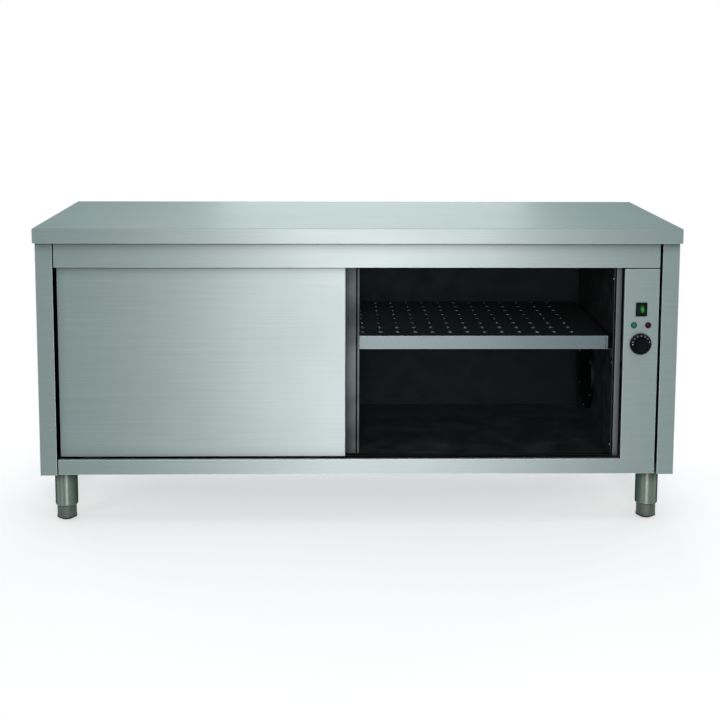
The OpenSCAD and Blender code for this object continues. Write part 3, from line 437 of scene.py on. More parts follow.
@dataclass(frozen=True)
class PaintedInk(Finish):
    """Pad printed ink: flat, slightly raised, and thin enough at its edges to look uneven."""

    roughness: float = 0.6

    def dress(self, tree: bpy.types.NodeTree, shader: bpy.types.Node) -> None:
        """Adds the uneven cover.

        Args:
            tree: The material's tree.
            shader: Its Principled shader.
        """
        place = add(tree, "ShaderNodeTexCoord").outputs["Object"]
        tree.links.new(self.shades(tree, noise(tree, place, 2500.0), 0.86, 1.04), shader.inputs["Base Color"])


@dataclass(frozen=True)
class Fibres(Finish):
    """Pressed wool or wood: matted fibres, here a few millimetres long."""

    roughness: float = 0.9
    fibre_mm: float = 6.0

    def dress(self, tree: bpy.types.NodeTree, shader: bpy.types.Node) -> None:
        """Adds the fibres.

        Args:
            tree: The material's tree.
            shader: Its Principled shader.
        """
        place = add(tree, "ShaderNodeTexCoord").outputs["Object"]
        fibres = noise(tree, place, 1 / (self.fibre_mm * MM), detail=6.0, roughness=0.7, distortion=2.0)
        tree.links.new(self.shades(tree, fibres, 0.7, 1.2), shader.inputs["Base Color"])
        emboss(tree, shader, 0.5, 1.0 * MM, fibres)


STAINLESS = "#7b8f8e"
WORKTOP_STEEL = BrushedStainless("worktop_stainless_belt_brushed", STAINLESS, streak_mm=3.6, edge_tint="#a3b0af")
BODY_STEEL = BrushedStainless("body_stainless_belt_brushed", STAINLESS)
PANEL_STEEL = BrushedStainless("panel_stainless_belt_brushed", STAINLESS, seam_mm=5.0)
DOOR_STEEL = BrushedStainless("door_stainless_belt_brushed", STAINLESS, streak_mm=2.8, contrast=0.06)
# The rear door's pull strip gets painted shade
REAR_DOOR_STEEL = BrushedStainless("rear_door_stainless_belt_brushed", STAINLESS, streak_mm=2.8, contrast=0.06,
                                   pull_from=-38 * MM, pull_share=0.2)
# Painted shade: the jamb is the same stainless, set darker as it lies recessed in the door channel
JAMB_STEEL = BrushedStainless("jamb_stainless_brushed_painted_shade", "#5b6867", seam_mm=20.0)
# Painted reflection: the dark edge tint stands in for dark surroundings mirrored on the tube's sides
LEG_STEEL = BrushedStainless("leg_stainless_polished_tube", "#67786f", streak_mm=2.4, streak_length_mm=60.0,
                             edge_tint="#3a403e")
# Painted shade: the shelf is the same stainless, set darker inside the cavity, with its top darker still
SHELF_STEEL = BrushedStainless("shelf_stainless_belt_brushed_painted_shade", "#57696b", streak_mm=2.6, contrast=0.04,
                               seam_mm=12.0, flat_share=0.1)
RIM_STEEL = PunchedRim("hole_rim_steel_punched", "#8e9c9e", roughness=0.35, blotch_mm=20.0)
# Painted shade: these inner sheets are one rolled steel, each set darker as the cavity's shade falls on it, the back
# wall darkest and the floor lightest
INNER_STEEL = RolledSteel("inner_sheet_rolled_painted_shade", "#2a2f30")
BACK_WALL_STEEL = RolledSteel("inner_back_sheet_rolled_painted_shade", "#101617")
SIDE_WALL_STEEL = RolledSteel("inner_side_sheet_rolled_painted_shade", "#3d4446")
FLOOR_STEEL = RolledSteel("inner_floor_rolled_painted_shade", "#59656b", roughness=0.42, blotch_mm=70.0)
RIVET_STEEL = RolledSteel("wall_rivet_steel_upset", "#d0d6d6", roughness=0.35, blotch_mm=4.0)
TRACK_ZINC = ZincPlate("track_steel_zinc_dipped", "#7f8688")
CAST_ALLOY = SandCast("alloy_sand_cast_tumbled", "#505b55")
SHEATH = RolledSteel("element_sheath_heat_oxidised", "#5a4a40", roughness=0.6, blotch_mm=12.0)
NYLON = Moulded("nylon_injection_moulded", "#c9c6ba", roughness=0.5)
BLACK_PHENOLIC = Moulded("phenolic_black_compression_moulded", "#06090d", roughness=0.26, specular=0.03)
BLACK_RUBBER = Moulded("rubber_black_moulded", "#121414", roughness=0.7, texture_mm=0.8, depth=0.3, specular=0.12)
BOARD_WOOD = Fibres("board_wood_fibre_pressed", "#8a6a45", fibre_mm=2.0)
WOOL = Fibres("mineral_wool_bonded", "#b9ab74")
WHITE_INK = PaintedInk("dial_ink_white_pad_printed", "#c9d2e6")
BLUE_INK = PaintedInk("dial_ink_blue_pad_printed", "#5f6f9c")


@dataclass
class Meshes:
    """Makes pieces out of bmesh forms and Geometry Nodes trees."""

    def finished(self, mesh: bmesh.types.BMesh | bpy.types.Mesh, name: str, finish: Finish, body: str,
                 slot: str) -> bpy.types.Object:
        """Turns a mesh into a piece that rides on a body.

        Args:
            mesh: The form in the row frame.
            name: The piece's name.
            finish: Its finish.
            body: The body it rides on.
            slot: The record's material slot; not used.

        Returns:
            The piece.
        """
        if isinstance(mesh, bmesh.types.BMesh):
            data = bpy.data.meshes.new(name)
            mesh.to_mesh(data)
            mesh.free()
        else:
            data = mesh
            data.name = name
        data.materials.clear()
        data.materials.append(finish.material())
        piece = bpy.data.objects.new(name, data)
        bpy.context.scene.collection.objects.link(piece)
        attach(piece, body)
        LOG.info("%s: %d faces on %s", name, len(data.polygons), body)
        return piece

    def revolve(self, profile: Sequence[tuple[float, float]], steps: int) -> bmesh.types.BMesh:
        """Revolves a profile of (radius, height) points in metres about +Z.

        Args:
            profile: Points from one pole or rim to the other.
            steps: Segments round the axis.

        Returns:
            The mesh, with its normals outwards.
        """
        form = bmesh.new()
        corners = [form.verts.new((radius, 0.0, height)) for radius, height in profile]
        edges = [form.edges.new(pair) for pair in zip(corners, corners[1:])]
        bmesh.ops.spin(form, geom=corners + edges, cent=(0, 0, 0), axis=(0, 0, 1), angle=2 * math.pi,
                       steps=steps, use_duplicate=False)
        bmesh.ops.remove_doubles(form, verts=form.verts, dist=1e-6)
        bmesh.ops.recalc_face_normals(form, faces=form.faces)
        return form

    def join(self, whole: bmesh.types.BMesh, part: bmesh.types.BMesh) -> None:
        """Adds a form to another and frees it.

        Args:
            whole: Form that grows.
            part: Form that is used up.
        """
        spare = bpy.data.meshes.new("spare")
        part.to_mesh(spare)
        part.free()
        whole.from_mesh(spare)
        bpy.data.meshes.remove(spare)

    def scatter(self, name: str, points: Sequence[Vector], turn: Matrix, shape: bmesh.types.BMesh,
                finish: Finish, body: str, slot: str, spin: float = 0.0, seed: int = 7) -> bpy.types.Object:
        """Puts a copy of a shape at each point by a Geometry Nodes tree.

        Args:
            name: The piece's name.
            points: Places in the row frame.
            turn: Rotation of the shape from its own +Z.
            shape: The shape, made round its own +Z.
            finish: Its finish.
            body: The body it rides on.
            slot: The record's material slot.
            spin: Largest random turn about the shape's own axis, in radians.
            seed: Seed of that random turn.

        Returns:
            One mesh with all the copies.
        """
        pattern = bpy.data.meshes.new(name + "_shape")
        shape.to_mesh(pattern)
        shape.free()
        source = bpy.data.objects.new(name + "_shape", pattern)
        bpy.context.scene.collection.objects.link(source)
        cloud = bpy.data.meshes.new(name + "_points")
        cloud.from_pydata([tuple(p) for p in points], [], [])
        host = bpy.data.objects.new(name + "_host", cloud)
        bpy.context.scene.collection.objects.link(host)
        tree = bpy.data.node_groups.new(name + "_nodes", "GeometryNodeTree")
        for label, kind, way in (("Geometry", "NodeSocketGeometry", "INPUT"), ("Shape", "NodeSocketObject", "INPUT"),
                                 ("Turn", "NodeSocketVector", "INPUT"), ("Spin", "NodeSocketFloat", "INPUT"),
                                 ("Seed", "NodeSocketInt", "INPUT"), ("Finish", "NodeSocketMaterial", "INPUT"),
                                 ("Geometry", "NodeSocketGeometry", "OUTPUT")):
            tree.interface.new_socket(name=label, in_out=way, socket_type=kind)
        given = add(tree, "NodeGroupInput")
        info = add(tree, "GeometryNodeObjectInfo", {"Object": given.outputs["Shape"]})
        chance = add(tree, "FunctionNodeRandomValue", {"Seed": given.outputs["Seed"]}, data_type="FLOAT")
        angle = maths(tree, "MULTIPLY", chance.outputs[1], given.outputs["Spin"])
        own = add(tree, "ShaderNodeCombineXYZ", {"Z": angle}).outputs[0]
        first = add(tree, "FunctionNodeEulerToRotation", {0: own}).outputs[0]
        second = add(tree, "FunctionNodeEulerToRotation", {0: given.outputs["Turn"]}).outputs[0]
        both = add(tree, "FunctionNodeRotateRotation", {"Rotation": first, "Rotate By": second}).outputs[0]
        copies = add(tree, "GeometryNodeInstanceOnPoints", {
            "Points": given.outputs["Geometry"], "Instance": info.outputs["Geometry"], "Rotation": both})
        real = add(tree, "GeometryNodeRealizeInstances", {0: copies.outputs[0]})
        coated = add(tree, "GeometryNodeSetMaterial", {
            "Geometry": real.outputs[0], "Material": given.outputs["Finish"]})
        add(tree, "NodeGroupOutput", {"Geometry": coated.outputs[0]})
        modifier = host.modifiers.new(name, "NODES")
        modifier.node_group = tree
        values = {"Shape": source, "Turn": tuple(turn.to_euler()), "Spin": spin, "Seed": seed,
                  "Finish": finish.material()}
        for item in tree.interface.items_tree:
            if item.in_out == "INPUT" and item.name in values:
                modifier[item.identifier] = values[item.name]
        bpy.context.view_layer.update()
        graph = bpy.context.evaluated_depsgraph_get()
        result = bpy.data.meshes.new_from_object(host.evaluated_get(graph))
        host.modifiers.clear()
        for spare in (host, source):
            bpy.data.objects.remove(spare)
        return self.finished(result, name, finish, body, slot)


@dataclass
class Fasteners(Meshes):
    """Heads of the rivets, screws and bolts."""

    facets: int = 24

    def head(self, style: HeadStyle, radius: float, height: float) -> bmesh.types.BMesh:
        """Makes one head, standing on its seat and facing +Z.

        Args:
            style: Kind of head.
            radius: Outer radius in metres.
            height: Height in metres.

        Returns:
            The head.
        """
        if style is HeadStyle.HEX_BOLT:
            return self.hex_head(radius, height)
        if style is HeadStyle.POP_RIVET:
            profile = [(0.0, 0.35 * height), (0.28 * radius, 0.38 * height), (0.34 * radius, height),
                       (0.62 * radius, 0.94 * height), (0.88 * radius, 0.62 * height), (radius, 0.16 * height),
                       (radius, -0.1 * height), (0.0, -0.1 * height)]
            return self.revolve(profile, self.facets)
        return self.cross_head(radius, height)

    def hex_head(self, radius: float, height: float) -> bmesh.types.BMesh:
        """Makes a bolt's hexagon with a washer face and a chamfered top.

        Args:
            radius: Radius of the hexagon before its chamfer, in metres.
            height: Height in metres.

        Returns:
            The head.
        """
        form = self.revolve([(0.0, height), (0.8 * radius, height), (0.88 * radius, 0.86 * height),
                             (0.88 * radius, 0.2 * height), (0.0, 0.2 * height)], 6)
        washer = self.revolve([(0.0, 0.2 * height), (1.25 * radius, 0.2 * height), (1.3 * radius, 0.12 * height),
                               (1.3 * radius, -0.1 * height), (0.0, -0.1 * height)], self.facets)
        self.join(form, washer)
        return form

    def cross_head(self, radius: float, height: float) -> bmesh.types.BMesh:
        """Makes a pan head with a cross recess.

        The rings keep 16 corners; those that lie in the four arms sink to the recess's floor.

        Args:
            radius: Outer radius in metres.
            height: Height in metres.

        Returns:
            The head.
        """
        steps = 16
        form = bmesh.new()
        shares = [(0.0, 1.0), (0.16, 1.0), (0.3, 1.0), (0.5, 0.97), (0.56, 0.95), (0.86, 0.7), (1.0, 0.3), (1.0, -0.1)]
        rings = []
        for share, level in shares:
            ring = []
            for i in range(steps):
                in_arm = i % 4 == 0 and share < 0.52
                sunk = 0.45 if in_arm or share < 0.2 else 0.0
                angle = 2 * math.pi * i / steps
                ring.append(form.verts.new((share * radius * math.cos(angle), share * radius * math.sin(angle),
                                            (level - sunk) * height)))
            rings.append(ring)
        for inner, outer in zip(rings, rings[1:]):
            for i in range(steps):
                j = (i + 1) % steps
                form.faces.new((inner[i], outer[i], outer[j], inner[j]))
        form.faces.new(list(reversed(rings[-1])))
        bmesh.ops.remove_doubles(form, verts=form.verts, dist=1e-7)
        bmesh.ops.dissolve_degenerate(form, dist=1e-8, edges=form.edges)
        bmesh.ops.recalc_face_normals(form, faces=form.faces)
        return form


@dataclass
class Shell(Fasteners):
    """Worktop, body sheets and what holds them together."""

    rivet_r: float = 4.0 * MM
    rivet_h: float = 1.6 * MM
    back_rows: int = 5
    back_columns: int = 9
    inset: float = 9.0 * MM
    bolt_r: float = 5.5 * MM
    bolt_h: float = 4.2 * MM
    finishes: dict = field(default_factory=lambda: {
        "worktop": WORKTOP_STEEL, "worktop_board": BOARD_WOOD, "left_side_panel": BODY_STEEL,
        "right_side_panel": BODY_STEEL, "back_panel": BODY_STEEL, "base_pan": BODY_STEEL,
        "upper_rail": BODY_STEEL, "front_panel": PANEL_STEEL, "insulation": WOOL, "cable_gland": BLACK_PHENOLIC})

    def build(self) -> None:
        """Dresses the sheets and adds the fasteners of the back and of the base."""
        coat(self.finishes)
        self.back_rivets()
        self.leg_bolts()
        self.louvres()

    def back_rivets(self) -> None:
        """Rivets the back panel through the side panels' flanges and along its upper edge."""
        low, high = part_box("back_panel")
        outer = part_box("left_side_panel")[1].y
        margin = 30 * MM
        points = []
        for side in (-1, 1):
            for row in range(self.back_rows):
                z = low.z + margin + (high.z - low.z - 3 * margin) * row / (self.back_rows - 1)
                points.append(Vector((side * (high.x - self.inset), outer, z)))
        self.scatter("back_flange_rivets", points, Side.BACK.turn(), self.head(
            HeadStyle.POP_RIVET, self.rivet_r, self.rivet_h), TRACK_ZINC, "cabinet", "body_steel")
        flange_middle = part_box("base_pan")[0].z + 12 * MM
        points = []
        for column in range(self.back_columns):
            x = low.x + 2 * margin + (high.x - low.x - 4 * margin) * column / (self.back_columns - 1)
            points.append(Vector((x, high.y, flange_middle)))
        self.scatter("back_edge_screws", points, Side.BACK.turn(), self.head(
            HeadStyle.CROSS_SCREW, self.rivet_r, self.rivet_h), TRACK_ZINC, "cabinet", "body_steel",
            spin=math.pi / 2)

    def leg_bolts(self) -> None:
        """Bolts each leg plate up into the base pan at its four corners."""
        low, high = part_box("legs")
        plate, plate_t, edge = 100 * MM, 3 * MM, 10 * MM
        points = []
        for x0 in (low.x, high.x - plate):
            for y0 in (low.y, high.y - plate):
                for dx in (edge, plate - edge):
                    for dy in (edge, plate - edge):
                        points.append(Vector((x0 + dx, y0 + dy, high.z - plate_t)))
        self.scatter("leg_plate_bolts", points, Side.DOWN.turn(), self.head(
            HeadStyle.HEX_BOLT, self.bolt_r, self.bolt_h), TRACK_ZINC, "cabinet", "track_zinc", spin=1.0)

    def louvres(self) -> None:
        """Presses a hood over each air slot of the back panel."""
        width, slot_h, pitch, count = 70 * MM, 5 * MM, 14 * MM, 6
        steps, reach, rise, past_slot, bay_middle = 10, 1.0 * MM, 8 * MM, 2 * MM, 83.5 * MM
        half = width / 2 + past_slot
        hood = bmesh.new()
        rows = []
        for share in (0.0, 0.2, 0.4, 0.6, 0.8, 1.0):
            ring = []
            for i in range(steps + 1):
                across = -1 + 2 * i / steps
                bulge = math.sqrt(max(0.0, 1 - across ** 4)) * math.sin(share * math.pi / 2)
                ring.append(hood.verts.new((across * half, rise * (1 - share), bulge * reach)))
            rows.append(ring)
        for upper, lower in zip(rows, rows[1:]):
            for i in range(steps):
                hood.faces.new((upper[i], upper[i + 1], lower[i + 1], lower[i]))
        bmesh.ops.remove_doubles(hood, verts=hood.verts, dist=1e-7)
        bmesh.ops.recalc_face_normals(hood, faces=hood.faces)
        bmesh.ops.solidify(hood, geom=hood.faces, thickness=0.3 * MM)
        bmesh.ops.recalc_face_normals(hood, faces=hood.faces)
        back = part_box("back_panel")[1].y
        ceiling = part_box("inner_ceiling")[0].z
        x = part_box("right_side_panel")[1].x - bay_middle
        points = [Vector((x, back, ceiling - pitch * (i + 2) + slot_h)) for i in range(count)]
        turn = Matrix(((-1, 0, 0, 0), (0, 0, 1, 0), (0, 1, 0, 0), (0, 0, 0, 1)))
        self.scatter("louvre_hoods", points, turn, hood, BODY_STEEL, "cabinet", "body_steel")


def coat(finishes: dict[str, Finish]) -> None:
    """Gives CAD nodes their finishes.

    Args:
        finishes: Node names with their finishes.
    """
    for name, finish in finishes.items():
        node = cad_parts[name]
        node.data.materials.clear()
        node.data.materials.append(finish.material())
        for face in node.data.polygons:
            face.material_index = 0
        LOG.info("%s: %s", name, finish.name)


@dataclass
class WarmCavity(Fasteners):
    """Inner sheets, the perforated shelf and the fan heater."""

    hole_r: float = 7.5 * MM
    pitch_x: float = 50.5 * MM
    pitch_y: float = 67.0 * MM
    first_y: float = 57.0 * MM
    rows: int = 8
    columns: int = 28
    tab_inset: float = 7.0 * MM
    screw_r: float = 3.4 * MM
    screw_h: float = 1.4 * MM
    finishes: dict = field(default_factory=lambda: {
        "inner_left_wall": SIDE_WALL_STEEL, "inner_right_wall": SIDE_WALL_STEEL,
        "inner_back_wall": BACK_WALL_STEEL,
        "inner_ceiling": INNER_STEEL, "inner_floor": FLOOR_STEEL, "shelf": SHELF_STEEL,
        # The fan cover takes the back wall's painted shade
        "shelf_brackets": INNER_STEEL, "wall_rivets": RIVET_STEEL, "fan_cover": BACK_WALL_STEEL,
        "fan_impeller": CAST_ALLOY, "fan_motor": CAST_ALLOY, "heating_element": SHEATH,
        "terminal_block": NYLON})

    def build(self) -> None:
        """Dresses the cavity and adds the rims of the holes and the cover's screws."""
        coat(self.finishes)
        self.hole_rims()
        self.cover_screws()

    def hole_rims(self) -> None:
        """Draws the small rolled rim that the punch leaves round each hole of the shelf."""
        low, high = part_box("shelf")
        start_x = (low.x + high.x - (self.columns - 1) * self.pitch_x) / 2
        points = [Vector((start_x + i * self.pitch_x, low.y + self.first_y + j * self.pitch_y, high.z))
                  for i in range(self.columns) for j in range(self.rows)]
        lip, rise = 1.5 * MM, 0.5 * MM
        profile = [(self.hole_r + lip, 0.0), (self.hole_r + 0.9 * lip, 0.6 * rise), (self.hole_r + 0.5 * lip, rise),
                   (self.hole_r + 0.15 * lip, 0.7 * rise), (self.hole_r, 0.0), (self.hole_r + lip, 0.0)]
        self.scatter("shelf_hole_rims", points, Matrix.Identity(4), self.revolve(profile, 20), RIM_STEEL,
                     "cabinet", "shelf_steel")

    def cover_screws(self) -> None:
        """Screws the fan cover to the wall through six small tabs of its rim."""
        low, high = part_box("fan_cover")
        middle, radius = (low + high) / 2, (high.z - low.z) / 2 - self.tab_inset
        points = [Vector((low.x, middle.y + radius * math.cos(a), middle.z + radius * math.sin(a)))
                  for a in (math.radians(60 * i + 30) for i in range(6))]
        self.scatter("fan_cover_screws", points, Side.LEFT.turn(), self.head(
            HeadStyle.CROSS_SCREW, self.screw_r, self.screw_h), TRACK_ZINC, "cabinet", "track_zinc",
            spin=math.pi / 2)


@dataclass
class SlidingDoors(Fasteners):
    """Doors, their running gear and the jamb."""

    rivet_r: float = 3.2 * MM
    rivet_h: float = 0.9 * MM
    rivets: int = 4
    edge: float = 14.0 * MM
    finishes: dict = field(default_factory=lambda: {
        "right_jamb": JAMB_STEEL, "door_track": TRACK_ZINC, "track_buffers": BLACK_RUBBER,
        "lower_guide": INNER_STEEL})

    def build(self) -> None:
        """Dresses the gear and both doors."""
        coat(self.finishes)
        for door, skin in (("front", DOOR_STEEL), ("rear", REAR_DOOR_STEEL)):
            coat({f"{door}_door_skin": skin, f"{door}_door_liner": INNER_STEEL,
                  f"{door}_door_core": WOOL, f"{door}_door_hangers": TRACK_ZINC,
                  f"{door}_door_guides": BLACK_RUBBER, f"{door}_left_roller": NYLON, f"{door}_right_roller": NYLON})
            self.liner_rivets(door)

    def liner_rivets(self, door: str) -> None:
        """Rivets the liner to the skin's inner flange.

        Args:
            door: "front" or "rear".
        """
        low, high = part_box(f"{door}_door_liner")
        span = high.z - low.z - 2 * self.edge
        points = [Vector((x, high.y, low.z + self.edge + span * i / (self.rivets - 1)))
                  for x in (low.x + self.edge, high.x - self.edge) for i in range(self.rivets)]
        self.scatter(f"{door}_liner_rivets", points, Side.BACK.turn(), self.head(
            HeadStyle.POP_RIVET, self.rivet_r, self.rivet_h), TRACK_ZINC, f"{door}_door", "track_zinc")


@dataclass
class ControlPanel(Meshes):
    """Rocker, pilot lamps and the dial."""

    skirt_r: float = 30.0 * MM
    grip_r: float = 19.0 * MM
    skirt_low: float = 4.0 * MM
    skirt_high: float = 7.0 * MM
    step_deg: float = 25.0
    numbers: tuple[int, ...] = (30, 40, 50, 60, 70, 80, 90)
    digit_h: float = 4.2 * MM
    grip_fillet: float = 3.0 * MM
    skirt_rim: float = 1.5 * MM
    number_r: float = 24.2 * MM
    tick_r: float = 27.6 * MM
    dot_r: float = 23.4 * MM
    dot_deg: float = 182.0
    lens_r: float = 7.75 * MM

    def build(self) -> None:
        """Dresses the controls and prints the dial."""
        coat({"switch_housing": BLACK_PHENOLIC, "thermostat": NYLON, "knob_spindle": TRACK_ZINC,
              "knob": BLACK_PHENOLIC})
        self.rocker()
        for name, colour, glow, strength in (("green_pilot_lamp", "#12503a", "#3f8f6c", 0.10),
                                             ("red_pilot_lamp", "#2c0414", "#5a0a26", 0.06)):
            low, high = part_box(name)
            lens = LampLens(name + "_lens_polycarbonate", colour, glow=glow, glow_strength=strength,
                            centre=((low.x + high.x) / 2, low.y, (low.z + high.z) / 2))
            coat({name: lens})
        self.lamp_rings()
        self.dial()

    def rocker(self) -> None:
        """Gives the rocker its green window, lit on its right half as the lamp behind it lies there."""
        low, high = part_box("switch_rocker")
        lens = LampLens("rocker_lens_green_polycarbonate", "#041c0a", prism_mm=1.2, glow="#44b455",
                        glow_strength=1.0, glow_radius_mm=8.0, glow_height=1.6,
                        centre=((low.x + high.x) / 2 + 3 * MM, low.y, (low.z + high.z) / 2 + 0.5 * MM))
        coat({"switch_rocker": lens})

    def lamp_rings(self) -> None:
        """Seats a thin black ring round each lens."""
        rings = bmesh.new()
        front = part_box("front_panel")[0].y
        bore = self.lens_r - 0.2 * MM
        profile = [(bore, 0.0), (self.lens_r + 0.9 * MM, 0.0), (self.lens_r + 0.8 * MM, 0.6 * MM),
                   (self.lens_r + 0.3 * MM, 0.9 * MM), (bore, 0.8 * MM), (bore, 0.0)]
        for name in ("green_pilot_lamp", "red_pilot_lamp"):
            low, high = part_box(name)
            ring = self.revolve(profile, 48)
            ring.transform(Matrix.Translation(((low.x + high.x) / 2, front, (low.z + high.z) / 2))
                           @ Side.FRONT.turn())
            self.join(rings, ring)
        self.finished(rings, "pilot_lamp_rings", BLACK_PHENOLIC, "cabinet", "black_plastic")

    def on_skirt(self, angle: float, radius: float) -> Matrix:
        """Gives a frame on the knob's sloping skirt.

        Args:
            angle: Direction from the middle, in radians from +X towards +Z.
            radius: Distance from the middle.

        Returns:
            Frame with X across, Y away from the middle and Z out of the skirt.
        """
        low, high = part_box("knob")
        inner = self.grip_r + self.grip_fillet
        outer = self.skirt_r - self.skirt_rim
        share = (outer - radius) / (outer - inner)
        height = self.skirt_low + share * (self.skirt_high - self.skirt_low)
        slope = math.atan2(self.skirt_high - self.skirt_low, outer - inner)
        middle = (low + high) / 2
        return (Matrix.Translation((middle.x, high.y, middle.z)) @ Matrix.Rotation(math.pi / 2, 4, "X")
                @ Matrix.Rotation(angle - math.pi / 2, 4, "Z") @ Matrix.Translation((0.0, radius, height))
                @ Matrix.Rotation(-slope, 4, "X"))

    def dial(self) -> None:
        """Prints plain numbers, their ticks and the white setting dot on the knob's skirt."""
        step = math.radians(self.step_deg)
        start = math.pi / 2 + step * (len(self.numbers) - 1) / 2
        scale = bmesh.new()
        for i, number in enumerate(self.numbers):
            self.join(scale, self.digits(number, self.on_skirt(start - step * i, self.number_r)))
        for i in range(2 * len(self.numbers) - 1):
            length = 0.9 * MM if i % 2 else 1.6 * MM
            place = self.on_skirt(start - step * i / 2, self.tick_r)
            self.stamp(scale, place @ Matrix.Diagonal((0.5 * MM, length, 0.12 * MM, 1.0)))
        self.finished(scale, "dial_scale", BLUE_INK, "dial", "nylon")
        dot = self.revolve([(0.0, 0.12 * MM), (1.1 * MM, 0.12 * MM), (1.3 * MM, -0.1 * MM), (0.0, -0.1 * MM)], 20)
        dot.transform(self.on_skirt(math.radians(self.dot_deg), self.dot_r))
        self.finished(dot, "dial_dot", WHITE_INK, "dial", "nylon")

    def stamp(self, form: bmesh.types.BMesh, place: Matrix) -> None:
        """Adds one printed bar.

        Args:
            form: Mesh that gets the bar.
            place: Frame of the bar, with its size as the scale.
        """
        made = bmesh.ops.create_cube(form, size=1.0)["verts"]
        bmesh.ops.transform(form, matrix=place, verts=made)

    def digits(self, number: int, place: Matrix) -> bmesh.types.BMesh:
        """Sets a number in plain digits.

        Args:
            number: The number.
            place: Frame of its middle, Y up the digits and Z out of the face.

        Returns:
            The number's mesh.
        """
        curve = bpy.data.curves.new("digits", "FONT")
        curve.body = str(number)
        curve.size = self.digit_h
        curve.extrude = 0.06 * MM
        curve.offset = 0.12 * MM
        curve.resolution_u = 3
        curve.align_x, curve.align_y = "CENTER", "CENTER"
        holder = bpy.data.objects.new("digits", curve)
        bpy.context.scene.collection.objects.link(holder)
        graph = bpy.context.evaluated_depsgraph_get()
        flat = bpy.data.meshes.new_from_object(holder.evaluated_get(graph))
        form = bmesh.new()
        form.from_mesh(flat)
        form.transform(place)
        bmesh.ops.remove_doubles(form, verts=form.verts, dist=1e-6)
        bpy.data.objects.remove(holder)
        bpy.data.meshes.remove(flat)
        bpy.data.curves.remove(curve)
        return form


@dataclass
class Legs(Meshes):
    """Tubes, inserts, screwed feet and their pads."""

    def build(self) -> None:
        """Dresses the legs."""
        coat({"legs": LEG_STEEL, "leg_inserts": CAST_ALLOY})
        for end in ("front_left", "front_right", "rear_left", "rear_right"):
            coat({f"{end}_foot": CAST_ALLOY, f"{end}_pad": BLACK_RUBBER})


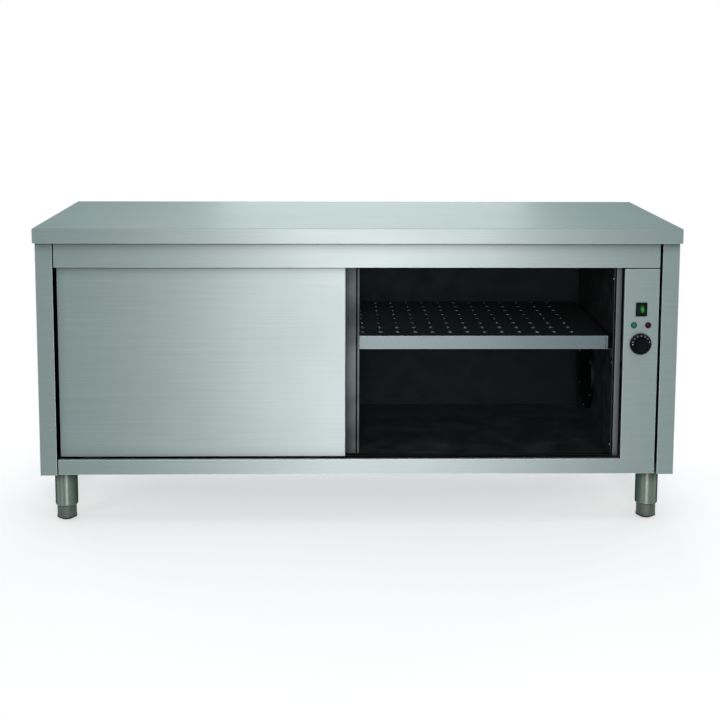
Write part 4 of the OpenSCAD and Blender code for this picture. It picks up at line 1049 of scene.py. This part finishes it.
@dataclass
class Studio:
    """Pale floor, plain softboxes and the camera at the photograph's angle."""

    camera_at: tuple[float, float, float] = (-0.0747, -4.1381, 1.3315)
    yaw_deg: float = -1.167
    pitch_deg: float = 7.318
    roll_deg: float = 0.201
    focal_mm: float = 69.245
    shift_y: float = -0.18
    floor_half: float = 30.0
    lamp_colour: tuple[float, float, float] = (1.0, 0.75, 0.76)
    shadow_near: float = 1.0
    shadow_far: float = 2.0

    def build(self) -> None:
        """Sets up floor, world, lamps and camera."""
        scene = bpy.context.scene
        scene.view_settings.view_transform = "Standard"
        self.floor()
        self.world(scene)
        # The radiance of each softbox, its size, its place and the point it faces
        for name, radiance, size, place, target in (
                ("front_softbox", 17.2, (1.6, 3.4), (0.2, -5.6, 1.7), (0.1, 0.0, 0.5)),
                ("rear_softbox", 17.0, (2.4, 3.0), (0.25, 6.2, 2.6), (0.1, 0.0, 0.7)),
                ("overhead_softbox", 1.5, (2.4, 2.4), (0.0, 0.2, 3.6), (0.0, 0.0, 0.8)),
                ("right_softbox", 4.0, (1.6, 2.2), (5.2, -0.6, 1.7), (0.0, 0.0, 0.5)),
                ("left_softbox", 4.0, (1.6, 2.2), (-5.2, -0.6, 1.7), (0.0, 0.0, 0.5)),
                ("front_left_softbox", 7.0, (1.4, 3.0), (-4.2, -4.6, 1.8), (0.0, 0.0, 0.5)),
                ("rear_right_softbox", 7.0, (1.4, 3.0), (4.4, 4.4, 1.8), (0.0, 0.0, 0.5)),
                ("rear_left_softbox", 4.0, (1.8, 2.0), (-3.8, 3.8, 3.2), (0.0, 0.0, 0.7)),
                ("front_right_softbox", 4.0, (1.8, 2.0), (3.8, -3.8, 3.2), (0.0, 0.0, 0.7))):
            self.softbox(name, radiance, size, Vector(place), Vector(target))
        self.camera(scene)

    def floor(self) -> None:
        """Lays the pale floor: it keeps the shadow near the cabinet and meets the white background further out."""
        half = self.floor_half
        data = bpy.data.meshes.new("floor")
        data.from_pydata([(-half, -half, 0), (half, -half, 0), (half, half, 0), (-half, half, 0)], [],
                         [(0, 1, 2, 3)])
        finish = bpy.data.materials.new("floor_pale_matt_paint")
        finish.use_nodes = True
        tree = finish.node_tree
        tree.nodes.clear()
        place = add(tree, "ShaderNodeTexCoord").outputs["Object"]
        away = add(tree, "ShaderNodeVectorMath", {0: place}, operation="LENGTH").outputs["Value"]
        far = spread(tree, away, self.shadow_near, self.shadow_far, low=0.5, way="SMOOTHSTEP")
        share = maths(tree, "MULTIPLY", self.seen(tree), far)
        matt = add(tree, "ShaderNodeBsdfDiffuse", {"Color": linear("#dff5f5")}).outputs[0]
        glow = add(tree, "ShaderNodeEmission", {"Color": linear("#ffffff"), "Strength": 1.0}).outputs[0]
        both = add(tree, "ShaderNodeMixShader", {0: share, 1: matt, 2: glow}).outputs[0]
        add(tree, "ShaderNodeOutputMaterial", {"Surface": both})
        data.materials.append(finish)
        plane = bpy.data.objects.new("floor", data)
        bpy.context.scene.collection.objects.link(plane)

    def seen(self, tree: bpy.types.NodeTree) -> bpy.types.NodeSocket:
        """Says whether a ray comes from the camera, a mirror or glass.

        Args:
            tree: Tree that gets the nodes.

        Returns:
            1 for such a ray, otherwise 0.
        """
        path = add(tree, "ShaderNodeLightPath").outputs
        straight = maths(tree, "MAXIMUM", path["Is Camera Ray"], path["Is Glossy Ray"])
        return maths(tree, "MAXIMUM", straight, path["Is Transmission Ray"])

    def world(self, scene: bpy.types.Scene) -> None:
        """Makes a white background that lights matt things at a plain level.

        Args:
            scene: The scene.
        """
        world = bpy.data.worlds.new("studio_white")
        world.use_nodes = True
        tree = world.node_tree
        tree.nodes.clear()
        level = spread(tree, self.seen(tree), 0.0, 1.0, low=0.5)
        sky = add(tree, "ShaderNodeBackground", {"Color": linear("#ffffff"), "Strength": level}).outputs[0]
        add(tree, "ShaderNodeOutputWorld", {"Surface": sky})
        scene.world = world

    def softbox(self, name: str, radiance: float, size: tuple[float, float], place: Vector,
                target: Vector) -> None:
        """Hangs one softbox.

        Args:
            name: Its name.
            radiance: Its brightness, where 1 is white.
            size: Width and height in metres.
            place: Where it hangs.
            target: The point it faces.
        """
        lamp = bpy.data.lights.new(name, "AREA")
        lamp.shape = "RECTANGLE"
        lamp.size, lamp.size_y = size
        lamp.energy = radiance * math.pi * size[0] * size[1]
        lamp.color = self.lamp_colour
        box = bpy.data.objects.new(name, lamp)
        box.location = place
        box.rotation_euler = (target - place).to_track_quat("-Z", "Y").to_euler()
        box.visible_camera = False
        bpy.context.scene.collection.objects.link(box)

    def camera(self, scene: bpy.types.Scene) -> None:
        """Puts the camera where the photograph was taken from.

        Args:
            scene: The scene.
        """
        lens = bpy.data.cameras.new("camera")
        lens.lens = self.focal_mm
        lens.sensor_width = 36.0
        lens.shift_y = self.shift_y
        lens.clip_end = 100.0
        eye = bpy.data.objects.new("camera", lens)
        eye.location = self.camera_at
        turn = (Matrix.Rotation(math.radians(self.yaw_deg), 4, "Z")
                @ Matrix.Rotation(math.radians(90 - self.pitch_deg), 4, "X")
                @ Matrix.Rotation(math.radians(self.roll_deg), 4, "Z"))
        eye.rotation_euler = turn.to_euler()
        scene.collection.objects.link(eye)
        scene.camera = eye


def main() -> None:
    """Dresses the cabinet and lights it."""
    logging.basicConfig(level=logging.INFO, format="%(message)s")
    for part in (Studio(), Shell(), WarmCavity(), SlidingDoors(), ControlPanel(), Legs()):
        part.build()


if __name__ == "__main__":
    main()
